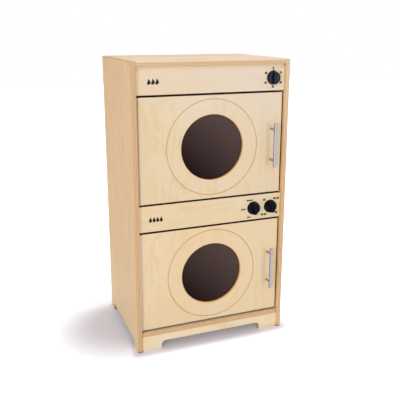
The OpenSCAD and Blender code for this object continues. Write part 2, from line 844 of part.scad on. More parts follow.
door_panel(z_floor);  // washer_door_panel
door_window(z_floor);  // washer_window
window_washers(z_floor);  // washer_window_washers
window_screws(z_floor);  // washer_window_screws
door_leaf(z_floor);  // washer_door_leaf
door_leaf_screws(z_floor);  // washer_leaf_screws
handle_bar(z_floor);  // washer_handle_bar
handle_posts(z_floor);  // washer_handle_posts
handle_bolts(z_floor);  // washer_handle_bolts
strike_plate(z_floor);  // washer_strike_plate
strike_screw(z_floor);  // washer_strike_screw

knob(dryer_dial, dryer_nose_deg);  // dryer_knob
spindle(dryer_dial);  // dryer_knob_spindle
spindle_washer(dryer_dial);  // dryer_knob_washer
spindle_nut(dryer_dial);  // dryer_knob_nut
knob(washer_left_dial, washer_left_nose_deg);  // washer_left_knob
spindle(washer_left_dial);  // washer_left_spindle
spindle_washer(washer_left_dial);  // washer_left_washer
spindle_nut(washer_left_dial);  // washer_left_nut
knob(washer_right_dial, washer_right_nose_deg);  // washer_right_knob
spindle(washer_right_dial);  // washer_right_spindle
spindle_washer(washer_right_dial);  // washer_right_washer
spindle_nut(washer_right_dial);  // washer_right_nut
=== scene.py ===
"""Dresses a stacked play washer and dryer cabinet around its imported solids.

Everything is in metres, in the frame of the solids: +Z is up, the doors face -Y, and the floor
is at Z = 0.
"""

import logging
import math
from dataclasses import dataclass, replace
from enum import Enum

import bmesh
import bpy
from bmesh.types import BMesh
from bpy.types import ID, Material, Mesh, Node, NodeSocket, NodeTree, Object
from mathutils import Matrix, Vector


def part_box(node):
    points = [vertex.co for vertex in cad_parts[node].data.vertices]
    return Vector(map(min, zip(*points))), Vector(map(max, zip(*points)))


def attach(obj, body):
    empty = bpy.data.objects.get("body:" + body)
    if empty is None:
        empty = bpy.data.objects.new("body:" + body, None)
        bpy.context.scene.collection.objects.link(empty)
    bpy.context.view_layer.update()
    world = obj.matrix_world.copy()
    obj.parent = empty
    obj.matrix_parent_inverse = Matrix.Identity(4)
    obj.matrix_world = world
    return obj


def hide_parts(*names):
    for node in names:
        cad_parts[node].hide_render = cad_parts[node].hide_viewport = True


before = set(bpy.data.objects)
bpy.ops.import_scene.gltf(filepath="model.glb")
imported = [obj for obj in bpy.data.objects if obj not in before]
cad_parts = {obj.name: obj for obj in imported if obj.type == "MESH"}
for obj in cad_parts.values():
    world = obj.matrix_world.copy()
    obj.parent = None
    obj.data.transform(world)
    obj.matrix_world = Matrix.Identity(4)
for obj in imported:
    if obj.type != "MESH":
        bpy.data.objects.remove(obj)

LOG = logging.getLogger("play_laundry")
DOORS = ("dryer", "washer")
FLOAT, VECTOR, GEOMETRY = "NodeSocketFloat", "NodeSocketVector", "NodeSocketGeometry"
SMOOTH_DEG = 40.0
Colour = tuple[float, float, float, float]
Flat = tuple[float, float]
Place = tuple[float, float, float]
WHITE: Colour = (1.0, 1.0, 1.0, 1.0)


def srgb(*channels: int) -> Colour:
    """Turns a screen colour, from 0 to 255 each, into a linear one with full alpha."""
    shares = [channel / 255 for channel in channels]
    linear = [s / 12.92 if s <= 0.04045 else ((s + 0.055) / 1.055) ** 2.4 for s in shares]
    return (*linear, 1.0)


class Axis(Enum):
    """An axis of the cabinet's frame."""

    X = "X"
    Y = "Y"
    Z = "Z"


class Facing(Enum):
    """The way that a fitting's head or a mark faces, as a turn from +Z."""

    FRONT = (math.pi / 2, 0.0, 0.0)
    REAR = (-math.pi / 2, 0.0, 0.0)
    LEFT = (0.0, -math.pi / 2, 0.0)
    RIGHT = (0.0, math.pi / 2, 0.0)

    def matrix(self) -> Matrix:
        """The turn as a 4 x 4 matrix."""
        turn_x, turn_y, _ = self.value
        return Matrix.Rotation(turn_y, 4, "Y") @ Matrix.Rotation(turn_x, 4, "X")


# ---------------------------------------------------------------- node graphs


class Graph:
    """A node tree that is written as calls, whose values are plain ones or sockets."""

    def __init__(self, tree: NodeTree) -> None:
        """Wraps the tree that takes the nodes."""
        self.tree = tree

    @staticmethod
    def live(sockets: object, name: str | None = None) -> NodeSocket:
        """The first socket in use, of any name or of one."""
        return next(s for s in sockets if s.enabled and name in (None, s.name))

    def fill(self, node: Node, inputs: dict) -> None:
        """Sets or links a node's inputs, by name or number."""
        for key, value in inputs.items():
            socket = node.inputs[key] if isinstance(key, int) else self.live(node.inputs, key)
            if isinstance(value, NodeSocket):
                self.tree.links.new(value, socket)
            else:
                socket.default_value = value

    def add(self, kind: str, inputs: dict | None = None, **settings: object) -> Node:
        """Adds a node.

        Args:
            kind: The node's type name.
            inputs: The values of its inputs, by name or number.
            **settings: Its own properties.

        Returns:
            The new node.
        """
        node = self.tree.nodes.new(kind)
        for key, value in settings.items():
            setattr(node, key, value)
        self.fill(node, inputs or {})
        return node

    def place(self, group: NodeTree, inputs: dict) -> object:
        """Places a shared effect, and gives its outputs by name."""
        return self.add("ShaderNodeGroup", inputs, node_tree=group).outputs

    def math(self, operation: str, *values: object, clamp: bool = False) -> NodeSocket:
        """Adds a Math node, whose result is kept between 0 and 1 by a clamp."""
        inputs = dict(enumerate(values))
        return self.add("ShaderNodeMath", inputs, operation=operation, use_clamp=clamp).outputs[0]

    def length(self, x: NodeSocket, y: NodeSocket) -> NodeSocket:
        """The length of a flat vector."""
        return self.math("SQRT", self.math("MULTIPLY_ADD", x, x, self.math("MULTIPLY", y, y)))

    def mix(self, share: object, first: object, second: object) -> NodeSocket:
        """Mixes a share of the second colour into the first."""
        inputs = {"Factor": share, "A": first, "B": second}
        return self.live(self.add("ShaderNodeMix", inputs, data_type="RGBA").outputs)

    def over(self, base: object, mask: object, share: float, colour: Colour) -> NodeSocket:
        """Lays a share of a colour over another where a mask says."""
        return self.mix(self.math("MULTIPLY", mask, share), base, colour)

    def ramp(
        self, value: object, low: float, high: float, to_low: float = 0.0, to_high: float = 1.0
    ) -> NodeSocket:
        """Maps a range smoothly onto another.

        Args:
            value: The input.
            low: The input that gives to_low.
            high: The input that gives to_high.
            to_low: The result at one end.
            to_high: The result at the other.

        Returns:
            The result's socket.
        """
        inputs = {"Value": value, "From Min": low, "From Max": high}
        inputs.update({"To Min": to_low, "To Max": to_high})
        node = self.add("ShaderNodeMapRange", inputs, interpolation_type="SMOOTHSTEP")
        return node.outputs["Result"]

    def scaled(self, vector: NodeSocket, scale: Place) -> NodeSocket:
        """Stretches a point's coordinates by a factor each."""
        inputs = {0: vector, 1: scale}
        return self.add("ShaderNodeVectorMath", inputs, operation="MULTIPLY").outputs[0]

    def noise(
        self, vector: NodeSocket, scale: float | Place, detail: float, distortion: float = 0.0
    ) -> NodeSocket:
        """Adds a noise texture.

        Args:
            vector: The point.
            scale: Its scale, or one for each coordinate.
            detail: Its octaves.
            distortion: How far it is warped.

        Returns:
            The noise value's socket.
        """
        if isinstance(scale, tuple):
            vector, scale = self.scaled(vector, scale), 1.0
        inputs = {"Vector": vector, "Scale": scale, "Detail": detail, "Distortion": distortion}
        return self.add("ShaderNodeTexNoise", inputs).outputs["Fac"]


class Group(Graph):
    """The graph of a new node group.

    Attributes:
        given: The group's inputs, as sockets by name.
    """

    def __init__(self, name: str, inputs: dict[str, str], kind: str = "ShaderNodeTree") -> None:
        """Makes the group.

        Args:
            name: Its name.
            inputs: The socket type of each input by name.
            kind: Its tree's type.
        """
        super().__init__(bpy.data.node_groups.new(name, kind))
        for key, socket in inputs.items():
            self.tree.interface.new_socket(name=key, in_out="INPUT", socket_type=socket)
        self.given = self.add("NodeGroupInput").outputs

    def finished(self, kind: str = FLOAT, **results: NodeSocket) -> NodeTree:
        """Gives the group an output of one socket type for each named result."""
        for key in results:
            self.tree.interface.new_socket(name=key, in_out="OUTPUT", socket_type=kind)
        self.add("NodeGroupOutput", results)
        return self.tree


class SharedEffects:
    """The surface effects that several finishes place, each built once."""

    def __init__(self) -> None:
        """Builds every group."""
        self.grain = self._birch_grain()
        self.plies = self._ply_layers()
        self.facing = self._face_mask()
        self.brush = self._brushing()
        self.shade = self._gap_shade()
        self.tint = self._painted_room_light()

    @staticmethod
    def _birch_grain() -> NodeTree:
        """Rotary-cut birch: a slow drift, wandering figure, fine fibre and short flecks."""
        lines_per_m, wander, fleck_sink = 48.0, 7.5, -0.6
        graph = Group("birch_grain", {"Vector": VECTOR, "Seed": FLOAT})
        seed = graph.given["Seed"]
        offset = graph.add("ShaderNodeCombineXYZ", {0: seed, 2: seed}).outputs[0]
        moved = graph.add("ShaderNodeVectorMath", {0: graph.given["Vector"], 1: offset})
        point = moved.outputs[0]
        drift = graph.noise(point, (5.0, 5.0, 1.2), 3.0, 0.6)
        warp = graph.noise(point, (13.0, 13.0, 6.0), 3.0, 1.2)
        across = graph.add("ShaderNodeSeparateXYZ", {0: point}).outputs[0]
        warp = graph.math("MULTIPLY", warp, wander)
        rings = graph.math("MULTIPLY_ADD", across, lines_per_m, warp)
        wave = graph.math("SINE", graph.math("MULTIPLY", rings, math.pi))
        figure = graph.math("MULTIPLY_ADD", wave, 0.5, 0.5)
        fade = graph.ramp(graph.noise(point, (14.0, 14.0, 6.0), 2.0), 0.35, 0.68)
        figure = graph.math("MULTIPLY", figure, fade)
        fibre = graph.noise(point, (620.0, 620.0, 11.0), 3.0)
        fleck = graph.ramp(graph.noise(point, (380.0, 380.0, 48.0), 2.0), 0.64, 0.76)
        height = graph.math("MULTIPLY_ADD", fleck, fleck_sink, fibre)
        return graph.finished(Drift=drift, Figure=figure, Fibre=fibre, Fleck=fleck, Height=height)

    @staticmethod
    def _ply_layers() -> NodeTree:
        """The plies of a cut edge: end grain in every second one, with thin glue lines."""
        waver_depth = 0.0004
        graph = Group("ply_layers", {"Depth": FLOAT, "Ply": FLOAT, "Vector": VECTOR})
        waver = graph.noise(graph.given["Vector"], 26.0, 2.0)
        depth = graph.math("MULTIPLY_ADD", waver, waver_depth, graph.given["Depth"])
        layer = graph.math("DIVIDE", depth, graph.given["Ply"])
        wave = graph.math("SINE", graph.math("MULTIPLY", layer, math.pi))
        glue = graph.ramp(graph.math("ABSOLUTE", wave), 0.22, 0.05)
        return graph.finished(End=graph.ramp(wave, -0.25, 0.25), Glue=glue)

    @staticmethod
    def _face_mask() -> NodeTree:
        """Tells a board's two faces and its eased corners from its cut edges."""
        graph = Group("face_mask", {"Normal": VECTOR, "Axis": VECTOR})
        inputs = {0: graph.given["Normal"], 1: graph.given["Axis"]}
        dot = graph.add("ShaderNodeVectorMath", inputs, operation="DOT_PRODUCT")
        along = graph.math("ABSOLUTE", dot.outputs["Value"])
        return graph.finished(Face=graph.ramp(along, 0.9, 0.98), Arris=graph.ramp(along, 0.25, 0.5))

    @staticmethod
    def _gap_shade() -> NodeTree:
        """Shade in a narrow gap, sooner on cut edges than on faces, and the glow of a corner."""
        towards_overhang, overhang_reach = (0.0, -0.6, 0.8), 1.6
        graph = Group("gap_shade", {"Reach": FLOAT})
        reach = graph.given["Reach"]
        closed = graph.add("ShaderNodeAmbientOcclusion", {"Distance": reach}, samples=8)
        opened = closed.outputs["AO"]
        edge, face = graph.ramp(opened, 0.78, 0.5), graph.ramp(opened, 0.5, 0.3)
        corner = graph.math("SUBTRACT", graph.ramp(opened, 0.94, 0.62), face, clamp=True)
        normal = graph.add("ShaderNodeCombineXYZ", dict(enumerate(towards_overhang)))
        far = graph.math("MULTIPLY", reach, overhang_reach)
        inputs = {"Normal": normal.outputs[0], "Distance": far}
        above = graph.add("ShaderNodeAmbientOcclusion", inputs).outputs["AO"]
        overhang = graph.ramp(above, 0.6, 0.25)
        return graph.finished(Edge=edge, Face=face, Corner=corner, Overhang=overhang)

    @staticmethod
    def _painted_room_light() -> NodeTree:
        """Painted light: a painted sheen that pales the lacquer at the upper right, and painted
        bounce light just over the floor.
        """
        rightwards = 0.3
        graph = Group("room_tint", {"Vector": VECTOR})
        place = graph.add("ShaderNodeSeparateXYZ", {0: graph.given["Vector"]}).outputs
        rise = graph.math("MULTIPLY_ADD", place[0], rightwards, place[2])
        painted_sheen, lift = graph.ramp(rise, 0.64, 0.94), graph.ramp(place[2], 0.3, 0.02)
        return graph.finished(Blush=painted_sheen, Lift=lift)

    @staticmethod
    def _brushing() -> NodeTree:
        """Fine parallel scratches, with a slower smudge."""
        graph = Group("brushing", {"Vector": VECTOR})
        scratch = graph.noise(graph.given["Vector"], 1.0, 3.0)
        smudge = graph.noise(graph.given["Vector"], (0.03, 0.03, 0.8), 2.0)
        return graph.finished(Scratch=scratch, Smudge=smudge)


# ---------------------------------------------------------------- finishes


class Surface(Graph):
    """The graph of a new material.

    Attributes:
        material: The material.
        shader: Its Principled shader.
        where: Its texture coordinates by name.
    """

    def __init__(self, name: str) -> None:
        """Makes a material of that name."""
        self.material = bpy.data.materials.new(name)
        self.material.use_nodes = True
        super().__init__(self.material.node_tree)
        self.shader = next(n for n in self.tree.nodes if n.type == "BSDF_PRINCIPLED")
        self.where = self.add("ShaderNodeTexCoord").outputs

    def finished(
        self, inputs: dict, height: NodeSocket, relief: float, strength: float
    ) -> Material:
        """Sets the shader and raises its texture.

        Args:
            inputs: The values of the shader's inputs by name.
            height: The texture's height.
            relief: How deep it goes, in metres.
            strength: How far it shows.

        Returns:
            The finished material.
        """
        raised = {"Height": height, "Distance": relief, "Strength": strength}
        bump = self.add("ShaderNodeBump", raised)
        self.fill(self.shader, {**inputs, "Normal": bump.outputs[0]})
        return self.material


@dataclass(frozen=True)
class BirchTone:
    """The colours of one cut of birch veneer.

    Attributes:
        pale: Between the figure.
        figured: In the figure.
        drifted: The slow drift's other end.
    """

    pale: Colour
    figured: Colour
    drifted: Colour


DRYER_FASCIA = BirchTone(srgb(236, 214, 177), srgb(230, 203, 154), srgb(234, 209, 169))
DRYER_DOOR = BirchTone(srgb(235, 215, 183), srgb(228, 203, 155), srgb(233, 211, 172))
WASHER_FASCIA = BirchTone(srgb(239, 219, 186), srgb(231, 205, 157), srgb(237, 213, 171))
WASHER_DOOR = BirchTone(srgb(240, 218, 182), srgb(234, 206, 156), srgb(239, 213, 173))
BASE_BOARDS = BirchTone(srgb(246, 228, 197), srgb(239, 214, 171), srgb(244, 222, 186))
SIDE_TONE = BirchTone(srgb(237, 203, 156), srgb(227, 190, 138), srgb(235, 199, 150))
TOP_TONE = BirchTone(srgb(245, 220, 195), srgb(219, 186, 143), srgb(235, 206, 175))
DOWEL_TONE = BirchTone(srgb(226, 192, 150), srgb(205, 165, 120), srgb(222, 186, 142))


@dataclass(frozen=True)
class BirchPly:
    """Lacquered birch plywood.

    Attributes:
        name: The material's name.
        face: The axis that the board's thickness lies along.
        grain: The axis that its grain runs along.
        start: Where the board's first face lies on its thickness axis.
        tone: The veneer's colours.
        seed: What sets its figure apart from the other boards'.
        ring: The X and Z of a routed ring's middle with its inner and outer radius, if any.
        ply: The thickness of one ply.
        end_grain: The colour of the plies that show end grain.
        long_grain: The colour of the plies that show long grain.
        glue: The colour of the glue lines.
        arris: The colour of the eased corners.
        wall_r: The radius within which a cut edge belongs to the ring's opening.
        routed: The colour at the bottom of the ring.
        cut: The colour of the opening's cut edge.
        gap_reach: How near a neighbour shades it.
        shaded: The colour deep in the gaps beside it.
        gap_share: How far that colour takes over there.
        corner: The colour that the light caught in a corner lifts the veneer to.
        corner_share: How far it does so.
        overhang: The colour of its shade under a board that stands proud of it.
        overhang_share: How far that colour takes over there.
        painted_sheen: The colour of a painted sheen that pales it, standing in for the room's
            light.
        painted_sheen_share: How far the painted sheen does so on the veneer.
        edge_painted_sheen: How far the painted sheen does so on the edges.
        lift: The colour of painted bounce light that lifts it, standing in for the floor's light.
        painted_bounce_share: How far the painted bounce light does so.
    """

    name: str
    face: Axis
    grain: Axis
    start: float
    tone: BirchTone
    seed: float
    ring: tuple[float, float, float, float] | None = None
    ply: float = 0.00214
    end_grain: Colour = srgb(197, 152, 101)
    long_grain: Colour = srgb(229, 194, 149)
    glue: Colour = srgb(170, 124, 76)
    arris: Colour = srgb(210, 174, 128)
    wall_r: float = 0.1075
    routed: Colour = srgb(216, 180, 118)
    cut: Colour = srgb(255, 205, 128)
    gap_reach: float = 0.012
    shaded: Colour = srgb(92, 34, 4)
    gap_share: float = 1.0
    corner: Colour = srgb(255, 238, 200)
    corner_share: float = 0.0
    overhang: Colour = srgb(178, 148, 92)
    overhang_share: float = 0.0
    painted_sheen: Colour = srgb(237, 223, 206)
    painted_sheen_share: float = 0.0
    edge_painted_sheen: float = 0.3
    lift: Colour = srgb(250, 225, 184)
    painted_bounce_share: float = 0.0

    def build(self, effects: SharedEffects) -> Material:
        """Builds the material, with the help of the shared surface effects."""
        graph = Surface(self.name)
        point = graph.where["Object"]
        parts = graph.add("ShaderNodeSeparateXYZ", {0: point}).outputs
        places = {axis: parts[axis.value] for axis in Axis}
        across = next(a for a in Axis if a not in (self.face, self.grain))
        order = (places[across], places[self.face], places[self.grain])
        turned = graph.add("ShaderNodeCombineXYZ", dict(enumerate(order))).outputs[0]
        grain = graph.place(effects.grain, {"Vector": turned, "Seed": self.seed})
        outward = tuple(1.0 if axis is self.face else 0.0 for axis in Axis)
        inputs = {"Normal": graph.where["Normal"], "Axis": outward}
        facing = graph.place(effects.facing, inputs)
        # Painted light: a painted sheen at the upper right and painted bounce light just over the
        # floor.
        tint = graph.place(effects.tint, {"Vector": point})
        shade = graph.place(effects.shade, {"Reach": self.gap_reach})
        depth = graph.math("SUBTRACT", places[self.face], self.start)
        plies = graph.place(effects.plies, {"Depth": depth, "Ply": self.ply, "Vector": point})
        edge = graph.mix(plies["End"], self.long_grain, self.end_grain)
        edge = graph.over(edge, plies["Glue"], 0.5, self.glue)
        edge = graph.over(edge, grain["Fibre"], 0.2, self.long_grain)
        # On the doors, fascias and top, the eased corners' colour is a painted highlight.
        edge = graph.mix(facing["Arris"], edge, self.arris)
        edge, spared = self._cuts(graph, edge, places)
        # A painted sheen pales the edges towards the upper right.
        edge = graph.over(edge, tint["Blush"], self.edge_painted_sheen, self.painted_sheen)
        dark = graph.math("SUBTRACT", shade["Edge"], spared, clamp=True)
        edge = graph.over(edge, dark, self.gap_share, self.shaded)
        veneer = self._veneer(graph, grain)
        # Painted sheen, painted bounce light and painted light in corners; painted shade under an
        # overhang and in the gaps.
        for mask, share, colour in (
            (tint["Blush"], self.painted_sheen_share, self.painted_sheen),
            (tint["Lift"], self.painted_bounce_share, self.lift),
            (shade["Corner"], self.corner_share, self.corner),
            (shade["Overhang"], self.overhang_share, self.overhang),
            (shade["Face"], self.gap_share * (1.0 - self.corner_share), self.shaded),
        ):
            veneer = graph.over(veneer, mask, share, colour)
        inputs = {
            "Base Color": graph.mix(facing["Face"], edge, veneer),
            "Roughness": graph.ramp(grain["Fibre"], 0.3, 0.7, to_low=0.45, to_high=0.58),
            "Specular IOR Level": 0.08,
        }
        return graph.finished(inputs, grain["Height"], relief=0.00008, strength=0.35)

    def _veneer(self, graph: Surface, grain: object) -> NodeSocket:
        """The colour of the board's faces, from the outputs of the grain."""
        figure_share, fibre_share, fleck_share = 0.8, 0.22, 0.18
        drift = graph.ramp(grain["Drift"], 0.35, 0.65)
        veneer = graph.mix(drift, self.tone.pale, self.tone.drifted)
        veneer = graph.over(veneer, grain["Figure"], figure_share, self.tone.figured)
        hair = graph.ramp(grain["Fibre"], 0.42, 0.62, to_high=fibre_share)
        veneer = graph.mix(hair, veneer, self.tone.figured)
        return graph.over(veneer, grain["Fleck"], fleck_share, self.end_grain)

    def _cuts(self, graph: Surface, edge: NodeSocket, places: dict) -> tuple[NodeSocket, object]:
        """Colours the routed ring and the wall of its opening, if the board has them.

        Args:
            graph: The material's graph.
            edge: The colour of the board's edges.
            places: The point's coordinates by axis.

        Returns:
            The new colour, and how far it is spared the shade of the gaps.
        """
        if not self.ring:
            return edge, 0.0
        wall_share, ring_spared = 0.9, 0.6
        x, z, inner_r, outer_r = self.ring
        aside = graph.math("SUBTRACT", places[Axis.X], x)
        radius = graph.length(aside, graph.math("SUBTRACT", places[Axis.Z], z))
        inside = graph.math("GREATER_THAN", radius, inner_r)
        routed = graph.math("MULTIPLY", inside, graph.math("LESS_THAN", radius, outer_r))
        edge = graph.mix(routed, edge, self.routed)
        wall = graph.math("LESS_THAN", radius, self.wall_r)
        edge = graph.over(edge, wall, wall_share, self.cut)
        return edge, graph.math("MULTIPLY_ADD", routed, ring_spared, wall)


@dataclass(frozen=True)
class BrushedMetal:
    """Metal with a fine directional brushing.

    Attributes:
        name: The material's name.
        colour: The metal's colour.
        along: The axis that the brushing runs along.
        smooth: Its lowest roughness.
        rough: Its highest roughness.
        lengthwise: The brushing's scale along that axis.
        crosswise: The brushing's scale across it.
        smudged: How bright the metal stays in a smudge.
    """

    name: str
    colour: Colour
    along: Axis
    smooth: float
    rough: float
    lengthwise: float = 26.0
    crosswise: float = 2600.0
    smudged: float = 0.72

    def build(self, effects: SharedEffects) -> Material:
        """Builds the material, with the help of the shared surface effects."""
        graph = Surface(self.name)
        stretch = tuple(self.lengthwise if axis is self.along else self.crosswise for axis in Axis)
        point = graph.scaled(graph.where["Object"], stretch)
        brush = graph.place(effects.brush, {"Vector": point})
        dark = (*(self.smudged * channel for channel in self.colour[:3]), 1.0)
        shade = graph.ramp(brush["Smudge"], 0.3, 0.7, to_high=0.14)
        inputs = {
            "Base Color": graph.mix(shade, self.colour, dark),
            "Roughness": graph.ramp(brush["Scratch"], 0.3, 0.7, self.smooth, self.rough),
            "Metallic": 1.0,
        }
        return graph.finished(inputs, brush["Scratch"], relief=0.00002, strength=0.25)


@dataclass(frozen=True)
class Moulding:
    """Moulded plastic, acrylic, ferrite or printed ink.

    Attributes:
        name: The material's name.
        colour: Its colour.
        mottle_and_reflection: The colour that its slow mottle drifts to, and the colour of its
            painted reflection where it has one.
        smooth: Its lowest roughness.
        rough: Its highest roughness.
        texture: The scale of its surface texture.
        relief: The depth of that texture.
        level: The strength of its reflections, 0.5 being plain plastic.
        sheen_tint: The tint of its reflections.
        painted_reflection_blend: The direction, middle and reach of a painted reflection that grows
            across it, if it has one.
    """

    name: str
    colour: Colour
    mottle_and_reflection: Colour
    smooth: float
    rough: float
    texture: float = 900.0
    relief: float = 0.00001
    level: float = 0.5
    sheen_tint: Colour = WHITE
    painted_reflection_blend: tuple[Vector, Vector, float] | None = None

    def build(self) -> Material:
        """Builds the material."""
        graph = Surface(self.name)
        where = graph.where["Object"]
        mottle = graph.noise(where, 38.0, 3.0)
        fine = graph.noise(where, self.texture, 2.0)
        share = graph.ramp(mottle, 0.35, 0.7)
        # A painted reflection grows across the piece in one direction, with a little mottle.
        if self.painted_reflection_blend:
            start, mottle_share = 0.46, 0.08
            way, middle, reach = self.painted_reflection_blend
            inputs = {0: where, 1: middle}
            offset = graph.add("ShaderNodeVectorMath", inputs, operation="SUBTRACT")
            inputs = {0: offset.outputs[0], 1: way}
            along = graph.add("ShaderNodeVectorMath", inputs, operation="DOT_PRODUCT")
            slope = graph.math("MULTIPLY_ADD", along.outputs["Value"], 0.5 / reach, start)
            share = graph.math("MULTIPLY_ADD", mottle, mottle_share, slope, clamp=True)
        inputs = {
            "Base Color": graph.mix(share, self.colour, self.mottle_and_reflection),
            "Roughness": graph.ramp(mottle, 0.35, 0.7, self.smooth, self.rough),
            "Specular IOR Level": self.level,
            "Specular Tint": self.sheen_tint,
        }
        return graph.finished(inputs, fine, self.relief, strength=0.3)


def wear(node: str, material: Material) -> None:
    """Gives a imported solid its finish."""
    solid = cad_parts[node]
    if not solid.material_slots:
        solid.data.materials.append(material)
    for slot in solid.material_slots:
        slot.material = material


# ---------------------------------------------------------------- meshes


def bridge(bm: BMesh, low: list, high: list, count: int) -> None:
    """Joins two rings of as many points, either of which may be a single point instead."""
    for i in range(count):
        j = (i + 1) % count
        corners = (low[i % len(low)], low[j % len(low)], high[j % len(high)], high[i % len(high)])
        loop = list(dict.fromkeys(corners))
        if len(loop) > 2:
            bm.faces.new(loop)


def add_lathe(
    bm: BMesh, profile: list[Flat], segments: int, offset: Place = (0.0, 0.0, 0.0)
) -> None:
    """Adds a closed shape that is turned about Z.

    Args:
        bm: The mesh that takes it.
        profile: Its (radius, height) points, from the lower pole to the upper one.
        segments: How many faces go round it.
        offset: How far it is moved.
    """
    rings = []
    for radius, height in profile:
        ring = []
        for i in range(segments if radius else 1):
            angle = math.tau * i / segments
            point = Vector((radius * math.cos(angle), radius * math.sin(angle), height))
            ring.append(bm.verts.new(point + Vector(offset)))
        rings.append(ring)
    for low, high in zip(rings, rings[1:]):
        bridge(bm, low, high, segments)


def add_prism(bm: BMesh, outlines: list[tuple[float, list[Vector]]]) -> None:
    """Adds a closed shape through flat outlines of equal length, each with its rising height."""
    rings = [[bm.verts.new((p.x, p.y, height)) for p in outline] for height, outline in outlines]
    bm.faces.new(list(reversed(rings[0])))
    for low, high in zip(rings, rings[1:]):
        bridge(bm, low, high, len(low))
    bm.faces.new(rings[-1])


def linked(name: str, data: ID) -> Object:
    """Makes an object of its data and puts it in the scene."""
    made = bpy.data.objects.new(name, data)
    bpy.context.scene.collection.objects.link(made)
    return made


def shade_smooth(bm: BMesh, smooth_deg: float) -> None:
    """Shades faces into each other wherever they meet under an angle."""
    for face in bm.faces:
        face.smooth = True
    for edge in bm.edges:
        closed = len(edge.link_faces) == 2
        edge.smooth = closed and edge.calc_face_angle() < math.radians(smooth_deg)


def mesh_object(name: str, bm: BMesh) -> Object:
    """Makes an object of a finished mesh, which is freed, with its faces turned outwards."""
    bmesh.ops.remove_doubles(bm, verts=bm.verts, dist=1e-7)
    bmesh.ops.recalc_face_normals(bm, faces=bm.faces)
    shade_smooth(bm, SMOOTH_DEG)
    mesh = bpy.data.meshes.new(name)
    bm.to_mesh(mesh)
    bm.free()
    return linked(name, mesh)


def evaluated_mesh(made: Object) -> Mesh:
    """A new plain mesh of an object as its modifiers leave it."""
    graph = bpy.context.evaluated_depsgraph_get()
    return bpy.data.meshes.new_from_object(made.evaluated_get(graph), depsgraph=graph)


def settled(made: Object) -> Object:
    """Turns an object's modifiers into its plain mesh."""
    mesh = evaluated_mesh(made)
    made.modifiers.clear()
    made.data = mesh
    mesh.name = made.name
    return made


def combined(base: Object, others: list[Object], operation: str, smooth_deg: float) -> Object:
    """Adds or cuts closed shapes, which are then deleted.

    Args:
        base: The shape that stays.
        others: The shapes that are added or cut.
        operation: UNION or DIFFERENCE.
        smooth_deg: The angle under which the faces of the result shade into each other.

    Returns:
        The base with its new mesh.
    """
    for other in others:
        step = base.modifiers.new("join", "BOOLEAN")
        step.object, step.operation, step.solver = other, operation, "EXACT"
    settled(base)
    for other in others:
        bpy.data.objects.remove(other)
    bm = bmesh.new()
    bm.from_mesh(base.data)
    bmesh.ops.remove_doubles(bm, verts=bm.verts, dist=1e-6)
    shade_smooth(bm, smooth_deg)
    bm.to_mesh(base.data)
    bm.free()
    return base


def solid_boxes(node: str) -> list[tuple[Vector, Vector]]:
    """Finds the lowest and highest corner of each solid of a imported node, in order of place."""
    bm = bmesh.new()
    bm.from_mesh(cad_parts[node].data)
    bmesh.ops.remove_doubles(bm, verts=bm.verts, dist=1e-6)
    left, boxes = set(bm.verts), []
    while left:
        stack, seen = [left.pop()], []
        while stack:
            vertex = stack.pop()
            seen.append(vertex.co.copy())
            near = left.intersection(edge.other_vert(vertex) for edge in vertex.link_edges)
            left -= near
            stack += near
        low, high = (Vector(pick(p[i] for p in seen) for i in range(3)) for pick in (min, max))
        boxes.append((low, high))
    bm.free()
    return sorted(boxes, key=lambda box: tuple(round(v, 5) for v in box[0]))


def box_centre(node: str) -> Vector:
    """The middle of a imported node's box."""
    low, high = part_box(node)
    return (low + high) / 2


def finish_piece(made: Object, body: str, slot: str, material: Material, *nodes: str) -> None:
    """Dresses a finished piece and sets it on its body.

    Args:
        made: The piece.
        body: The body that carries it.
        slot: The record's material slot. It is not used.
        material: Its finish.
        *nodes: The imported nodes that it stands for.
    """
    made.data.materials.clear()
    made.data.materials.append(material)
    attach(made, body)
    if nodes:
        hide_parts(*nodes)
    LOG.info("%s: %d faces on %s", made.name, len(made.data.polygons), body)


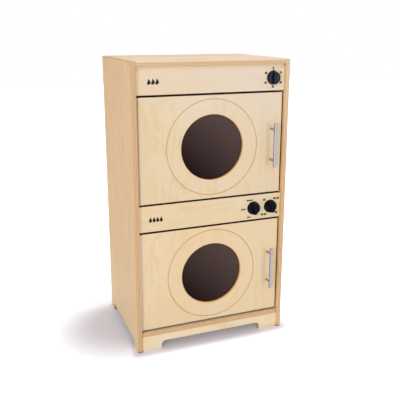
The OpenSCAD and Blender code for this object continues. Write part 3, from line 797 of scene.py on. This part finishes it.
class Repeats:
    """A Geometry Nodes tree that sets one fitting at each point of a mesh."""

    INPUTS = {
        "Geometry": GEOMETRY,
        "Fitting": "NodeSocketObject",
        "Facing": VECTOR,
        "Spin": FLOAT,
        "Seed": "NodeSocketInt",
        "Finish": "NodeSocketMaterial",
    }

    def __init__(self) -> None:
        """Builds the tree."""
        graph = Group("fittings_at_points", self.INPUTS, "GeometryNodeTree")
        given = graph.given
        fitting = graph.add("GeometryNodeObjectInfo", {"Object": given["Fitting"]})
        inputs = {"Min": 0.0, "Max": given["Spin"], "Seed": given["Seed"]}
        spin = graph.add("FunctionNodeRandomValue", inputs, data_type="FLOAT")
        turn = graph.add("ShaderNodeCombineXYZ", {2: graph.live(spin.outputs)}).outputs[0]
        inputs = {"Points": given["Geometry"], "Instance": fitting.outputs["Geometry"]}
        placed = graph.add("GeometryNodeInstanceOnPoints", {**inputs, "Rotation": turn}).outputs[0]
        inputs = {"Geometry": placed, "Rotation": given["Facing"]}
        faced = graph.add("GeometryNodeTransform", inputs).outputs[0]
        real = graph.add("GeometryNodeRealizeInstances", {"Geometry": faced}).outputs[0]
        inputs = {"Geometry": real, "Material": given["Finish"]}
        done = graph.add("GeometryNodeSetMaterial", inputs).outputs[0]
        self.tree = graph.finished(GEOMETRY, Geometry=done)
        items = [item for item in self.tree.interface.items_tree if item.in_out == "INPUT"]
        self.keys = {item.name: item.identifier for item in items}

    def spread(
        self,
        name: str,
        fitting: Object,
        points: list[Vector],
        facing: Facing,
        material: Material,
        spin: float = 0.0,
        seed: int = 0,
    ) -> Object:
        """Sets a fitting at each point.

        Args:
            name: The new piece's name.
            fitting: The fitting's template, along +Z at the origin, which is deleted.
            points: Where each one goes.
            facing: The way that they all face.
            material: Their finish.
            spin: The largest random turn about each one's own axis, in radians.
            seed: What fixes that turn.

        Returns:
            One plain mesh of them all.
        """
        back = facing.matrix().inverted()
        mesh = bpy.data.meshes.new(name)
        mesh.from_pydata([back @ p for p in points], [], [])
        made = linked(name, mesh)
        step = made.modifiers.new("fittings", "NODES")
        step.node_group = self.tree
        values = {"Fitting": fitting, "Facing": facing.value, "Spin": spin}
        values.update({"Seed": seed, "Finish": material})
        for key, value in values.items():
            step[self.keys[key]] = value
        settled(made)
        bpy.data.objects.remove(fitting)
        return made


# ---------------------------------------------------------------- fixings


class Head(Enum):
    """The form of a screw's head."""

    PAN = "pan"
    COUNTERSUNK = "countersunk"


@dataclass(frozen=True)
class Screw:
    """A cross-recess screw along +Z, with its seat at the origin.

    Attributes:
        head: The form of its head.
        shank_d: The shank's diameter.
        head_d: The head's diameter.
        head_h: The head's height, or its depth where it is countersunk.
        length: The shank's length below the seat.
        drive_w: The width of the cross recess.
        drive_depth: The depth of the cross recess.
    """

    head: Head
    shank_d: float
    head_d: float
    head_h: float
    length: float
    drive_w: float
    drive_depth: float

    def build(self) -> Object:
        """Builds the template of one screw."""
        shank, head, rise = self.shank_d / 2, self.head_d / 2, self.head_h
        tip = [(0.0, -self.length), (0.55 * shank, -self.length), (shank, -self.length + shank)]
        if self.head is Head.PAN:
            top = rise
            crown = [(shank, 0.0), (head, 0.0), (head, 0.3 * rise), (0.93 * head, 0.62 * rise)]
            crown += [(0.72 * head, 0.88 * rise), (0.4 * head, 0.99 * rise), (0.0, rise)]
        else:
            top = 0.0
            crown = [(shank, -rise), (0.97 * head, -0.06 * rise), (0.97 * head, 0.0), (0.0, 0.0)]
        bm = bmesh.new()
        add_lathe(bm, tip + crown, segments=24)
        made = mesh_object("screw", bm)
        arms = [self._arm(top, angle) for angle in (0.0, math.pi / 2)]
        return combined(made, arms, "DIFFERENCE", smooth_deg=35.0)

    def _arm(self, top: float, angle: float) -> Object:
        """The cutter of one tapered arm of the cross recess, below the height of the top."""
        half, wall = self.drive_w / 2, 0.17 * self.drive_w
        turn = Matrix.Rotation(angle, 2)
        levels = []
        for height, share in ((top - self.drive_depth, 0.45), (top + self.drive_depth, 1.35)):
            corners = ((-1, -1), (1, -1), (1, 1), (-1, 1))
            flat = [turn @ Vector((x * half * share, y * wall / 2)) for x, y in corners]
            levels.append((height, flat))
        bm = bmesh.new()
        add_prism(bm, levels)
        return mesh_object("arm", bm)


@dataclass(frozen=True)
class ScrewRow:
    """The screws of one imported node.

    Attributes:
        node: The node's name.
        body: The body that carries them.
        screw: Their shape.
        facing: The way that their heads face.
    """

    node: str
    body: str
    screw: Screw
    facing: Facing

    def build(self, repeats: Repeats, material: Material, seed: int) -> None:
        """Builds the screws in place of the node.

        Args:
            repeats: The tree that spreads them.
            material: Their finish.
            seed: What fixes how each one was left turned.
        """
        outward = (self.facing.matrix() @ Vector((0, 0, 1))).to_3d()
        rise = self.screw.head_h if self.screw.head is Head.PAN else 0.0
        seats = []
        for low, high in solid_boxes(self.node):
            reach = abs(outward.dot((high - low) / 2))
            seats.append((low + high) / 2 + outward * (reach - rise))
        name, screw = self.node + "_driven", self.screw.build()
        made = repeats.spread(name, screw, seats, self.facing, material, math.tau, seed)
        finish_piece(made, self.body, "zinc_steel", material, self.node)


# ---------------------------------------------------------------- sub-assemblies


@dataclass
class Carcass:
    """The plywood boards and what holds them.

    Attributes:
        effects: The shared surface effects.
        ring_inner_r: The inner radius of the doors' routed rings.
        ring_outer_r: The outer radius of the doors' routed rings.
        arris_highlight: The painted highlight on the doors' and fascias' eased corners.
        top_arris_highlight: The painted highlight on the top's eased corners.
        painted_light_end: The end grain of the right side's edge, paler with painted light.
        painted_light_long: The long grain of the edges that the light catches, paler with painted
            light.
    """

    effects: SharedEffects
    ring_inner_r: float = 0.15
    ring_outer_r: float = 0.155
    arris_highlight: Colour = srgb(248, 233, 204)
    top_arris_highlight: Colour = srgb(244, 214, 168)
    painted_light_end: Colour = srgb(206, 161, 108)
    painted_light_long: Colour = srgb(238, 203, 156)

    def dress(self) -> None:
        """Gives every board its own cut of birch."""
        # The eased corners of the doors, fascias and top carry a painted highlight. The doors and
        # fascias also carry a painted sheen at the upper right.
        door = {"arris": self.arris_highlight, "painted_sheen_share": 0.68}
        fascia = {**door, "corner_share": 0.9}
        shaded = {**fascia, "overhang_share": 0.3}
        top = {"arris": self.top_arris_highlight, "edge_painted_sheen": 0.2}
        # The bottom shelf's and right side's edges are paler with painted light.
        bottom = {"gap_share": 0.35, "long_grain": self.painted_light_long}
        # The side panels get painted bounce light just over the floor.
        left = {"painted_bounce_share": 0.5, "edge_painted_sheen": 0.0}
        right = {"painted_bounce_share": 0.5, "end_grain": self.painted_light_end, "long_grain": self.painted_light_long}
        boards = (
            ("left_side_panel", Axis.X, Axis.Z, SIDE_TONE, 1.7, left),
            ("right_side_panel", Axis.X, Axis.Z, SIDE_TONE, 4.1, right),
            ("top_panel", Axis.Z, Axis.X, TOP_TONE, 2.3, top),
            ("middle_shelf", Axis.Z, Axis.X, BASE_BOARDS, 5.2, {}),
            ("bottom_shelf", Axis.Z, Axis.X, BASE_BOARDS, 6.4, bottom),
            ("back_panel", Axis.Y, Axis.Z, SIDE_TONE, 7.9, {}),
            ("toe_kick", Axis.Y, Axis.X, BASE_BOARDS, 8.6, {}),
            ("dryer_fascia", Axis.Y, Axis.X, DRYER_FASCIA, 9.3, shaded),
            ("washer_fascia", Axis.Y, Axis.X, WASHER_FASCIA, 3.5, fascia),
            ("dryer_door_panel", Axis.Y, Axis.Z, DRYER_DOOR, 0.6, door),
            ("washer_door_panel", Axis.Y, Axis.Z, WASHER_DOOR, 2.9, door),
        )
        for node, face, grain, tone, seed, looks in boards:
            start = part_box(node)[0][list(Axis).index(face)]
            ring = None
            if node.endswith("door_panel"):
                middle = box_centre(node)
                ring = (middle.x, middle.z, self.ring_inner_r, self.ring_outer_r)
            finish = BirchPly("birch_" + node, face, grain, start, tone, seed, ring, **looks)
            wear(node, finish.build(self.effects))
        dowels = BirchPly("birch_dowels", Axis.Y, Axis.X, 0.0, DOWEL_TONE, 1.1)
        wear("carcass_dowels", dowels.build(self.effects))
        LOG.info("carcass: %d boards dressed", len(boards))


@dataclass
class Windows:
    """The smoked acrylic discs.

    Attributes:
        window_r: The radius of the openings that they fill.
        deep: The smoke's colour at the lower left.
        thin: The colour at the upper right, where a painted reflection pales the smoke.
    """

    window_r: float = 0.1045
    deep: Colour = srgb(28, 3, 5)
    # The upper right's colour is a painted reflection.
    thin: Colour = srgb(84, 68, 64)

    def dress(self) -> None:
        """Gives both discs their finish, with a painted reflection that pales the smoke towards the
        upper right.
        """
        towards_reflection = Vector((1.0, 0.0, 1.0)).normalized()
        for door in DOORS:
            # The smoke pales towards the upper right with a painted reflection.
            painted_reflection_blend = (towards_reflection, box_centre(door + "_window"), self.window_r)
            looks = {"texture": 60.0, "relief": 0.0, "level": 0.05, "painted_reflection_blend": painted_reflection_blend}
            smoke = Moulding("smoked_acrylic_" + door, self.deep, self.thin, 0.1, 0.14, **looks)
            wear(door + "_window", smoke.build())
        LOG.info("windows dressed")


@dataclass
class Metalwork:
    """Handles, hinges, catches and screws.

    Attributes:
        effects: The shared surface effects.
        repeats: The tree that spreads the screws.
    """

    effects: SharedEffects
    repeats: Repeats

    def build(self) -> None:
        """Dresses the plain metal and builds the screws."""
        metals = (
            BrushedMetal("brushed_nickel", srgb(152, 150, 158), Axis.Z, 0.28, 0.42),
            # The posts' warm tint is a painted reflection of the birch and painted shade.
            BrushedMetal("darkened_nickel", srgb(184, 172, 160), Axis.Y, 0.3, 0.45),
            # Lit and shaded copies of one strip: the dryer's is darker with painted shade, the
            # washer's paler with painted light.
            BrushedMetal("plated_strip", srgb(146, 134, 136), Axis.Z, 0.32, 0.48),
            BrushedMetal("clean_strip", srgb(196, 184, 178), Axis.Z, 0.32, 0.48),
            BrushedMetal("zinc_plate", srgb(178, 178, 182), Axis.Y, 0.3, 0.46),
        )
        bar, post, dim, bright, plate = (finish.build(self.effects) for finish in metals)
        nylon = Moulding("white_nylon", srgb(232, 230, 222), srgb(224, 220, 208), 0.4, 0.5)
        white = nylon.build()
        ferrite = Moulding("ferrite", srgb(62, 60, 62), srgb(74, 70, 68), 0.5, 0.7, 1400.0, 0.00003)
        for door in DOORS:
            # The dryer's hinge strips carry painted shade, the washer's painted light.
            strip = dim if door == "dryer" else bright
            parts = {"handle_bar": bar, "handle_posts": post, "frame_leaf": strip}
            parts.update({"door_leaf": strip, "hinge_pin": plate, "strike_plate": plate})
            parts.update({"window_washers": plate, "catch_housing": white})
            for name, material in parts.items():
                wear(f"{door}_{name}", material)
        wear("knob_bushings", white)
        wear("catch_pole_plates", plate)
        wear("catch_magnets", ferrite.build())
        for dial in ("dryer_knob", "washer_left", "washer_right"):
            for part in ("spindle", "washer", "nut"):
                wear(f"{dial}_{part}", plate)
        for seed, row in enumerate(self._rows()):
            row.build(self.repeats, plate, seed)

    @staticmethod
    def _rows() -> list[ScrewRow]:
        """Every row of screws, in the order of their seeds."""
        back = Screw(Head.PAN, 0.003, 0.0065, 0.002, 0.014, drive_w=0.0036, drive_depth=0.0013)
        window, catch = replace(back, length=0.0092), replace(back, length=0.022)
        bolt = Screw(Head.PAN, 0.004, 0.0075, 0.0025, 0.025, drive_w=0.0042, drive_depth=0.0016)
        leaf = Screw(
            Head.COUNTERSUNK, 0.003, 0.0056, 0.001, 0.009, drive_w=0.0032, drive_depth=0.0009
        )
        strike = replace(leaf, head_h=0.0015, length=0.0095, drive_depth=0.0011)
        rows = [
            ScrewRow("back_panel_screws", "cabinet", back, Facing.REAR),
            ScrewRow("frame_leaf_screws", "cabinet", leaf, Facing.RIGHT),
            ScrewRow("catch_screws", "cabinet", catch, Facing.LEFT),
        ]
        for door in DOORS:
            for part, screw, facing in (
                ("window_screws", window, Facing.REAR),
                ("leaf_screws", leaf, Facing.LEFT),
                ("handle_bolts", bolt, Facing.REAR),
                ("strike_screw", strike, Facing.REAR),
            ):
                rows.append(ScrewRow(f"{door}_{part}", door + "_door", screw, facing))
        return rows


@dataclass
class Knob:
    """A turning knob with a raised finger grip and a pointer nose on its skirt.

    Attributes:
        node: The knob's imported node.
        spindle: The spindle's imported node.
        body: The body that carries it.
        nose_deg: The nose's turn from the lowest point, anticlockwise.
        skirt_r: The skirt's radius.
        skirt_h: The skirt's height.
        core_r: The raised centre's radius.
        core_h: The raised centre's height.
        grip_w: The grip's width.
        grip_inset: How far the grip stays inside the raised centre.
        height: The knob's whole height.
        nose_r: The nose's radius.
        nose_at: The nose's distance from the axis.
        edge: The size of its rounded edges.
        dish: How far the raised centre's face is dished.
    """

    node: str
    spindle: str
    body: str
    nose_deg: float
    skirt_r: float = 0.02225
    skirt_h: float = 0.004
    core_r: float = 0.02075
    core_h: float = 0.012
    grip_w: float = 0.012
    grip_inset: float = 0.0008
    height: float = 0.0185
    nose_r: float = 0.003
    nose_at: float = 0.02175
    edge: float = 0.0011
    dish: float = 0.0006

    def _core(self) -> Object:
        """The skirt and the raised centre."""
        foot, edge, dish = 0.0005, self.edge, self.dish
        profile = [
            (0.0, 0.0),
            (self.skirt_r - foot, 0.0),
            (self.skirt_r, foot),
            (self.skirt_r, self.skirt_h - 1.6 * edge),
            (self.skirt_r - 0.35 * edge, self.skirt_h - 0.7 * edge),
            (self.skirt_r - edge, self.skirt_h - 0.2 * edge),
            (self.skirt_r - 2 * edge, self.skirt_h),
            (self.core_r + 0.6 * edge, self.skirt_h + 0.1 * edge),
            (self.core_r, self.skirt_h + 0.7 * edge),
            (self.core_r - 0.5 * edge, self.core_h - 1.2 * edge),
            (self.core_r - 0.9 * edge, self.core_h - 0.35 * edge),
            (self.core_r - 1.8 * edge, self.core_h),
            (0.7 * self.core_r, self.core_h - 0.6 * dish),
            (0.35 * self.core_r, self.core_h - dish),
            (0.0, self.core_h - dish),
        ]
        bm = bmesh.new()
        add_lathe(bm, profile, segments=72)
        return mesh_object(self.node + "_moulded", bm)

    def _outline(self, inset: float) -> list[Vector]:
        """The grip's outline, drawn in by an inset: a band across the raised centre."""
        half, radius, steps = self.grip_w / 2 - inset, self.core_r - self.grip_inset - inset, 10
        corner = math.acos(half / radius)
        points = []
        for side in (0.0, math.pi):
            for i in range(steps + 1):
                angle = side + corner + (math.pi - 2 * corner) * i / steps
                points.append(Vector((radius * math.cos(angle), radius * math.sin(angle))))
        return points

    def _grip(self) -> Object:
        """The finger grip, whose top edge is rounded in steps."""
        rounding = ((0.0022, 0.0002), (0.0012, 0.0004), (0.0005, 0.0008), (0.0001, 0.0014))
        levels = [(0.5 * self.skirt_h, -0.0005)]
        levels += [(self.height - drop, inset) for drop, inset in rounding]
        levels.append((self.height, 0.0022))
        bm = bmesh.new()
        add_prism(bm, [(height, self._outline(inset)) for height, inset in levels])
        return mesh_object("grip", bm)

    def _nose(self) -> Object:
        """The pointer nose on the skirt."""
        low, high = 0.0003, self.skirt_h - 0.0006
        profile = [(0.0, low), (self.nose_r, low), (self.nose_r, high - 0.0008)]
        profile += [(0.85 * self.nose_r, high - 0.0002), (0.6 * self.nose_r, high), (0.0, high)]
        bm = bmesh.new()
        add_lathe(bm, profile, segments=32, offset=(0.0, -self.nose_at, 0.0))
        return mesh_object("nose", bm)

    def build(self, material: Material) -> None:
        """Builds the knob in place of its node."""
        made = combined(self._core(), [self._grip(), self._nose()], "UNION", smooth_deg=32.0)
        centre, base = box_centre(self.spindle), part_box(self.node)[1].y
        place = Matrix.Translation((centre.x, base, centre.z)) @ Facing.FRONT.matrix()
        made.data.transform(place @ Matrix.Rotation(math.radians(self.nose_deg), 4, "Z"))
        finish_piece(made, self.body, "black_knob", material, self.node)


@dataclass
class Print:
    """The marks printed on the fascias: plain numbers, drops and flames.

    Attributes:
        repeats: The tree that spreads what repeats.
        material: The ink.
        film: The ink's thickness in front of the fascia.
        sunk: How far the ink reaches into the fascia.
        boldness: How much the numbers' strokes are thickened, as a share of their height.
        digit_share: The height of a number as a share of its text size.
    """

    repeats: Repeats
    material: Material
    film: float = 0.00006
    sunk: float = 0.00002
    boldness: float = 0.105
    digit_share: float = 0.7

    def drop(self, width: float, height: float, lean: float = 0.0) -> Object:
        """A drop, round below and pointed above, centred on the origin, or a leaning flame.

        Args:
            width: Its width.
            height: Its height.
            lean: How far its middle is bent aside.

        Returns:
            The template object.
        """
        radius, arc_steps, side_steps = width / 2, 20, 4
        centre_y = radius - height / 2
        touch = math.asin(radius / (height - radius))
        points = []
        for i in range(arc_steps + 1):
            angle = touch + (-math.pi - 2 * touch) * i / arc_steps
            spot = (radius * math.cos(angle), centre_y + radius * math.sin(angle))
            points.append(Vector(spot))
        first, last, tip = points[0], points[-1], Vector((0.0, height / 2))
        points += [last.lerp(tip, i / side_steps) for i in range(1, side_steps)]
        points += [tip] + [first.lerp(tip, i / side_steps) for i in range(side_steps - 1, 0, -1)]
        for point in points:
            point.x += lean * math.sin(math.pi * (point.y / height + 0.5))
        bm = bmesh.new()
        add_prism(bm, [(-self.sunk, points), (self.film, points)])
        return mesh_object("drop", bm)

    def row(
        self, name: str, mark: Object, centre: Flat, count: int, pitch: float, node: str
    ) -> None:
        """Prints a row of one mark.

        Args:
            name: The piece's name.
            mark: The mark's template, which is deleted.
            centre: The X and Z of the row's middle.
            count: How many marks it has.
            pitch: The distance between them.
            node: The fascia that carries it.
        """
        face, (x, z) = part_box(node)[0].y, centre
        points = [Vector((x + (i - (count - 1) / 2) * pitch, face, z)) for i in range(count)]
        made = self.repeats.spread(name, mark, points, Facing.FRONT, self.material)
        finish_piece(made, "cabinet", "black_knob", self.material)

    def numbers(
        self, name: str, labels: list[tuple[str, float, float]], height: float, node: str
    ) -> None:
        """Prints plain numbers.

        Args:
            name: The piece's name.
            labels: Each number with the X and Z of its middle.
            height: Their height.
            node: The fascia that carries them.
        """
        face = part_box(node)[0].y - (self.film - self.sunk) / 2
        bm = bmesh.new()
        for words, x, z in labels:
            curve = bpy.data.curves.new("number", "FONT")
            curve.body, curve.align_x, curve.align_y = words, "CENTER", "CENTER"
            curve.size, curve.offset = height / self.digit_share, self.boldness * height
            curve.extrude, curve.resolution_u = (self.film + self.sunk) / 2, 4
            holder = linked("number", curve)
            mesh = evaluated_mesh(holder)
            mesh.transform(Matrix.Translation((x, face, z)) @ Facing.FRONT.matrix())
            bm.from_mesh(mesh)
            bpy.data.objects.remove(holder)
            bpy.data.meshes.remove(mesh)
        finish_piece(mesh_object(name, bm), "cabinet", "black_knob", self.material)


@dataclass
class Controls:
    """The knobs with the marks round them.

    Attributes:
        glossy: The dryer knob's finish.
        satin: The washer knobs' finish.
        printer: What prints the marks.
    """

    glossy: Material
    satin: Material
    printer: Print

    def build(self) -> None:
        """Builds the three knobs and their marks."""
        Knob("dryer_knob", "dryer_knob_spindle", "dryer_dial", 180.0).build(self.glossy)
        for dial, nose_deg in (("washer_left", 7.0), ("washer_right", 23.0)):
            knob = Knob(dial + "_knob", dial + "_spindle", dial + "_dial", nose_deg)
            knob.build(self.satin)
        self._timer()
        self._levels()
        self._heats()
        self._titles()

    def _timer(self) -> None:
        """Prints tens of minutes round the dryer's knob."""
        dial = box_centre("dryer_knob_spindle")
        labels = []
        for i, radius in enumerate((0.0298, 0.0305, 0.0315, 0.0285, 0.0305, 0.0295)):
            angle = math.radians(60 * i)
            x, z = dial.x + radius * math.sin(angle), dial.z + radius * math.cos(angle)
            labels.append((str(10 * i), x, z))
        self.printer.numbers("dryer_dial_numbers", labels, 0.006, "dryer_fascia")

    def _levels(self) -> None:
        """Prints two to four drops round the washer's left knob."""
        dial = box_centre("washer_left_spindle")
        for count, x, z in ((2, -0.016, -0.0306), (3, -0.0362, -0.0019), (4, -0.0138, 0.0272)):
            mark = self.printer.drop(width=0.0051, height=0.0068)
            name, place = f"washer_level_{count}_drops", (dial.x + x, dial.z + z)
            self.printer.row(name, mark, place, count, 0.0056, "washer_fascia")

    def _heats(self) -> None:
        """Prints degrees round the washer's right knob."""
        dial = box_centre("washer_right_spindle")
        spots = (
            ("20", -0.0215, 0.0234),
            ("30-40", 0.0228, 0.0246),
            ("60", 0.0256, -0.0254),
            ("70-90", -0.0225, -0.0276),
        )
        labels = [(words, dial.x + x, dial.z + z) for words, x, z in spots]
        self.printer.numbers("washer_dial_numbers", labels, 0.0063, "washer_fascia")

    def _titles(self) -> None:
        """Prints flames on the dryer's fascia and drops on the washer's."""
        flame = self.printer.drop(width=0.0112, height=0.0185, lean=0.0028)
        self.printer.row("dryer_flames", flame, (-0.1925, 0.871), 3, 0.0127, "dryer_fascia")
        drop = self.printer.drop(width=0.0106, height=0.0175)
        self.printer.row("washer_drops", drop, (-0.1889, 0.4457), 4, 0.0116, "washer_fascia")


# ---------------------------------------------------------------- studio


@dataclass(frozen=True)
class Softbox:
    """A square area lamp.

    Attributes:
        name: Its name.
        place: Where it stands.
        target: What it points at.
        width: Its side.
        watts: Its power.
        colour: Its colour.
    """

    name: str
    place: Place
    target: Place
    width: float
    watts: float
    colour: Place

    def build(self) -> None:
        """Sets up the lamp."""
        lamp = bpy.data.lights.new(self.name, "AREA")
        lamp.size, lamp.energy, lamp.color = self.width, self.watts, self.colour
        made = linked(self.name, lamp)
        made.location = self.place
        aim = Vector(self.target) - Vector(self.place)
        made.rotation_euler = aim.to_track_quat("-Z", "Y").to_euler()


NEUTRAL, WARM = (1.0, 1.0, 1.0), (1.0, 0.985, 0.96)
LAMPS = (
    Softbox("main", (-2.92, -3.24, 1.59), (0.0, 0.0, 0.5), 1.6, 63.0, WARM),
    Softbox("side", (1.6, -4.7, 0.85), (0.0, 0.0, 0.5), 1.6, 33.0, WARM),
    Softbox("overhead", (1.6, 0.9, 4.6), (0.0, 0.0, 0.4), 2.2, 70.0, NEUTRAL),
)


@dataclass
class Studio:
    """The floor, the lamps, the surroundings and the camera.

    Attributes:
        lens_mm: The camera's focal length.
        sensor_mm: The width of its sensor.
        place: The camera's place.
        azimuth_deg: How far its view turns from +Y towards +X.
        elevation_deg: How far its view dips.
        roll_deg: Its roll.
        shift: Its shift, as shares of the frame's width.
        view_reach: How far it sees.
        ambient: The level at which the surroundings light the object.
        floor_half: Half the side of the floor.
        paper: The floor's colour.
        pool: The X and Y of the middle of the shadow's pool on the floor.
        pool_r: The pool's radius.
        pool_core: The share of that radius within which it is deepest.
        pool_glow: The floor's least lift in the pool.
        foot: Half the X and Y size of the object's footprint.
        foot_fade: How far the shadow at the feet reaches.
    """

    lens_mm: float = 53.1
    sensor_mm: float = 36.0
    place: Place = (-0.6935, -1.8458, 1.0279)
    azimuth_deg: float = 21.33
    elevation_deg: float = 14.696
    roll_deg: float = 0.149
    shift: Flat = (-0.003, -0.0472)
    view_reach: float = 60.0
    ambient: float = 0.55
    floor_half: float = 9.0
    paper: Colour = (0.745, 0.735, 0.82, 1.0)
    pool: Flat = (-0.26, 0.034)
    pool_r: float = 0.42
    pool_core: float = 0.18
    pool_glow: float = 0.1
    foot: Flat = (0.26, 0.1825)
    foot_fade: float = 0.06

    def camera(self) -> None:
        """Sets up the camera."""
        data = bpy.data.cameras.new("camera")
        data.lens, data.sensor_width = self.lens_mm, self.sensor_mm
        data.shift_x, data.shift_y = self.shift
        data.clip_end = self.view_reach
        made = linked("camera", data)
        made.matrix_world = (
            Matrix.Translation(self.place)
            @ Matrix.Rotation(-math.radians(self.azimuth_deg), 4, "Z")
            @ Matrix.Rotation(math.radians(90 - self.elevation_deg), 4, "X")
            @ Matrix.Rotation(math.radians(self.roll_deg), 4, "Z")
        )
        bpy.context.scene.camera = made

    @staticmethod
    def _seen(graph: Graph) -> NodeSocket:
        """1 for rays that show the stage rather than light the object."""
        rays = graph.add("ShaderNodeLightPath").outputs
        both = graph.math("MAXIMUM", rays["Is Camera Ray"], rays["Is Glossy Ray"])
        return graph.math("MAXIMUM", both, rays["Is Transmission Ray"])

    def world(self) -> None:
        """Sets up white surroundings that light the object at a lower level."""
        world = bpy.data.worlds.new("studio")
        world.use_nodes = True
        bpy.context.scene.world = world
        graph = Graph(world.node_tree)
        background = next(n for n in graph.tree.nodes if n.type == "BACKGROUND")
        strength = graph.math("MULTIPLY_ADD", self._seen(graph), 1.0 - self.ambient, self.ambient)
        graph.fill(background, {"Strength": strength, "Color": WHITE})

    def _lift(self, graph: Surface) -> NodeSocket:
        """How far the floor is lifted to white: least in the shadow's pool and at the feet."""
        place = graph.add("ShaderNodeSeparateXYZ", {0: graph.where["Object"]}).outputs
        pool, feet = [], []
        for coordinate, middle, half in zip((place[0], place[1]), self.pool, self.foot):
            offset = graph.math("SUBTRACT", coordinate, middle)
            pool.append(graph.math("DIVIDE", offset, self.pool_r))
            beyond = graph.math("SUBTRACT", graph.math("ABSOLUTE", coordinate), half)
            feet.append(graph.math("MAXIMUM", beyond, 0.0))
        away = graph.ramp(graph.length(*pool), self.pool_core, 1.0)
        return graph.math("MINIMUM", away, graph.ramp(graph.length(*feet), 0.0, self.foot_fade))

    def floor(self) -> None:
        """Lays a white floor that keeps the object's shadow near it."""
        bm = bmesh.new()
        bmesh.ops.create_grid(bm, x_segments=1, y_segments=1, size=self.floor_half)
        made = mesh_object("floor", bm)
        graph = Surface("floor_paper")
        low = self.pool_glow
        glow = graph.math("MULTIPLY_ADD", self._lift(graph), 1.0 - low, low)
        inputs = {"Emission Strength": graph.math("MULTIPLY", glow, self._seen(graph))}
        inputs.update({"Emission Color": WHITE, "Base Color": self.paper})
        inputs.update({"Roughness": 0.95, "Specular IOR Level": 0.1})
        graph.fill(graph.shader, inputs)
        made.data.materials.append(graph.material)

    def build(self) -> None:
        """Sets up the whole studio."""
        self.camera()
        self.world()
        self.floor()
        for lamp in LAMPS:
            lamp.build()
        bpy.context.scene.view_settings.view_transform = "Standard"
        LOG.info("studio ready")


def main() -> None:
    """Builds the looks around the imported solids."""
    logging.basicConfig(level=logging.INFO, format="%(name)s: %(message)s")
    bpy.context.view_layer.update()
    Studio().build()
    effects = SharedEffects()
    repeats = Repeats()
    Carcass(effects).dress()
    Windows().dress()
    Metalwork(effects, repeats).build()
    black, worn_black, bluish = srgb(12, 12, 17), srgb(16, 17, 24), (0.72, 0.82, 1.0, 1.0)
    looks = {"texture": 1800.0, "relief": 0.000004, "level": 0.19, "sheen_tint": bluish}
    glossy = Moulding("glossy_black", black, worn_black, 0.14, 0.2, **looks)
    satin = replace(glossy, name="satin_black", level=0.055)
    ink = Moulding("printed_ink", srgb(18, 15, 15), srgb(26, 22, 21), 0.5, 0.6, level=0.2)
    Controls(glossy.build(), satin.build(), Print(repeats, ink.build())).build()
    LOG.info("size written")


if __name__ == "__main__":
    main()
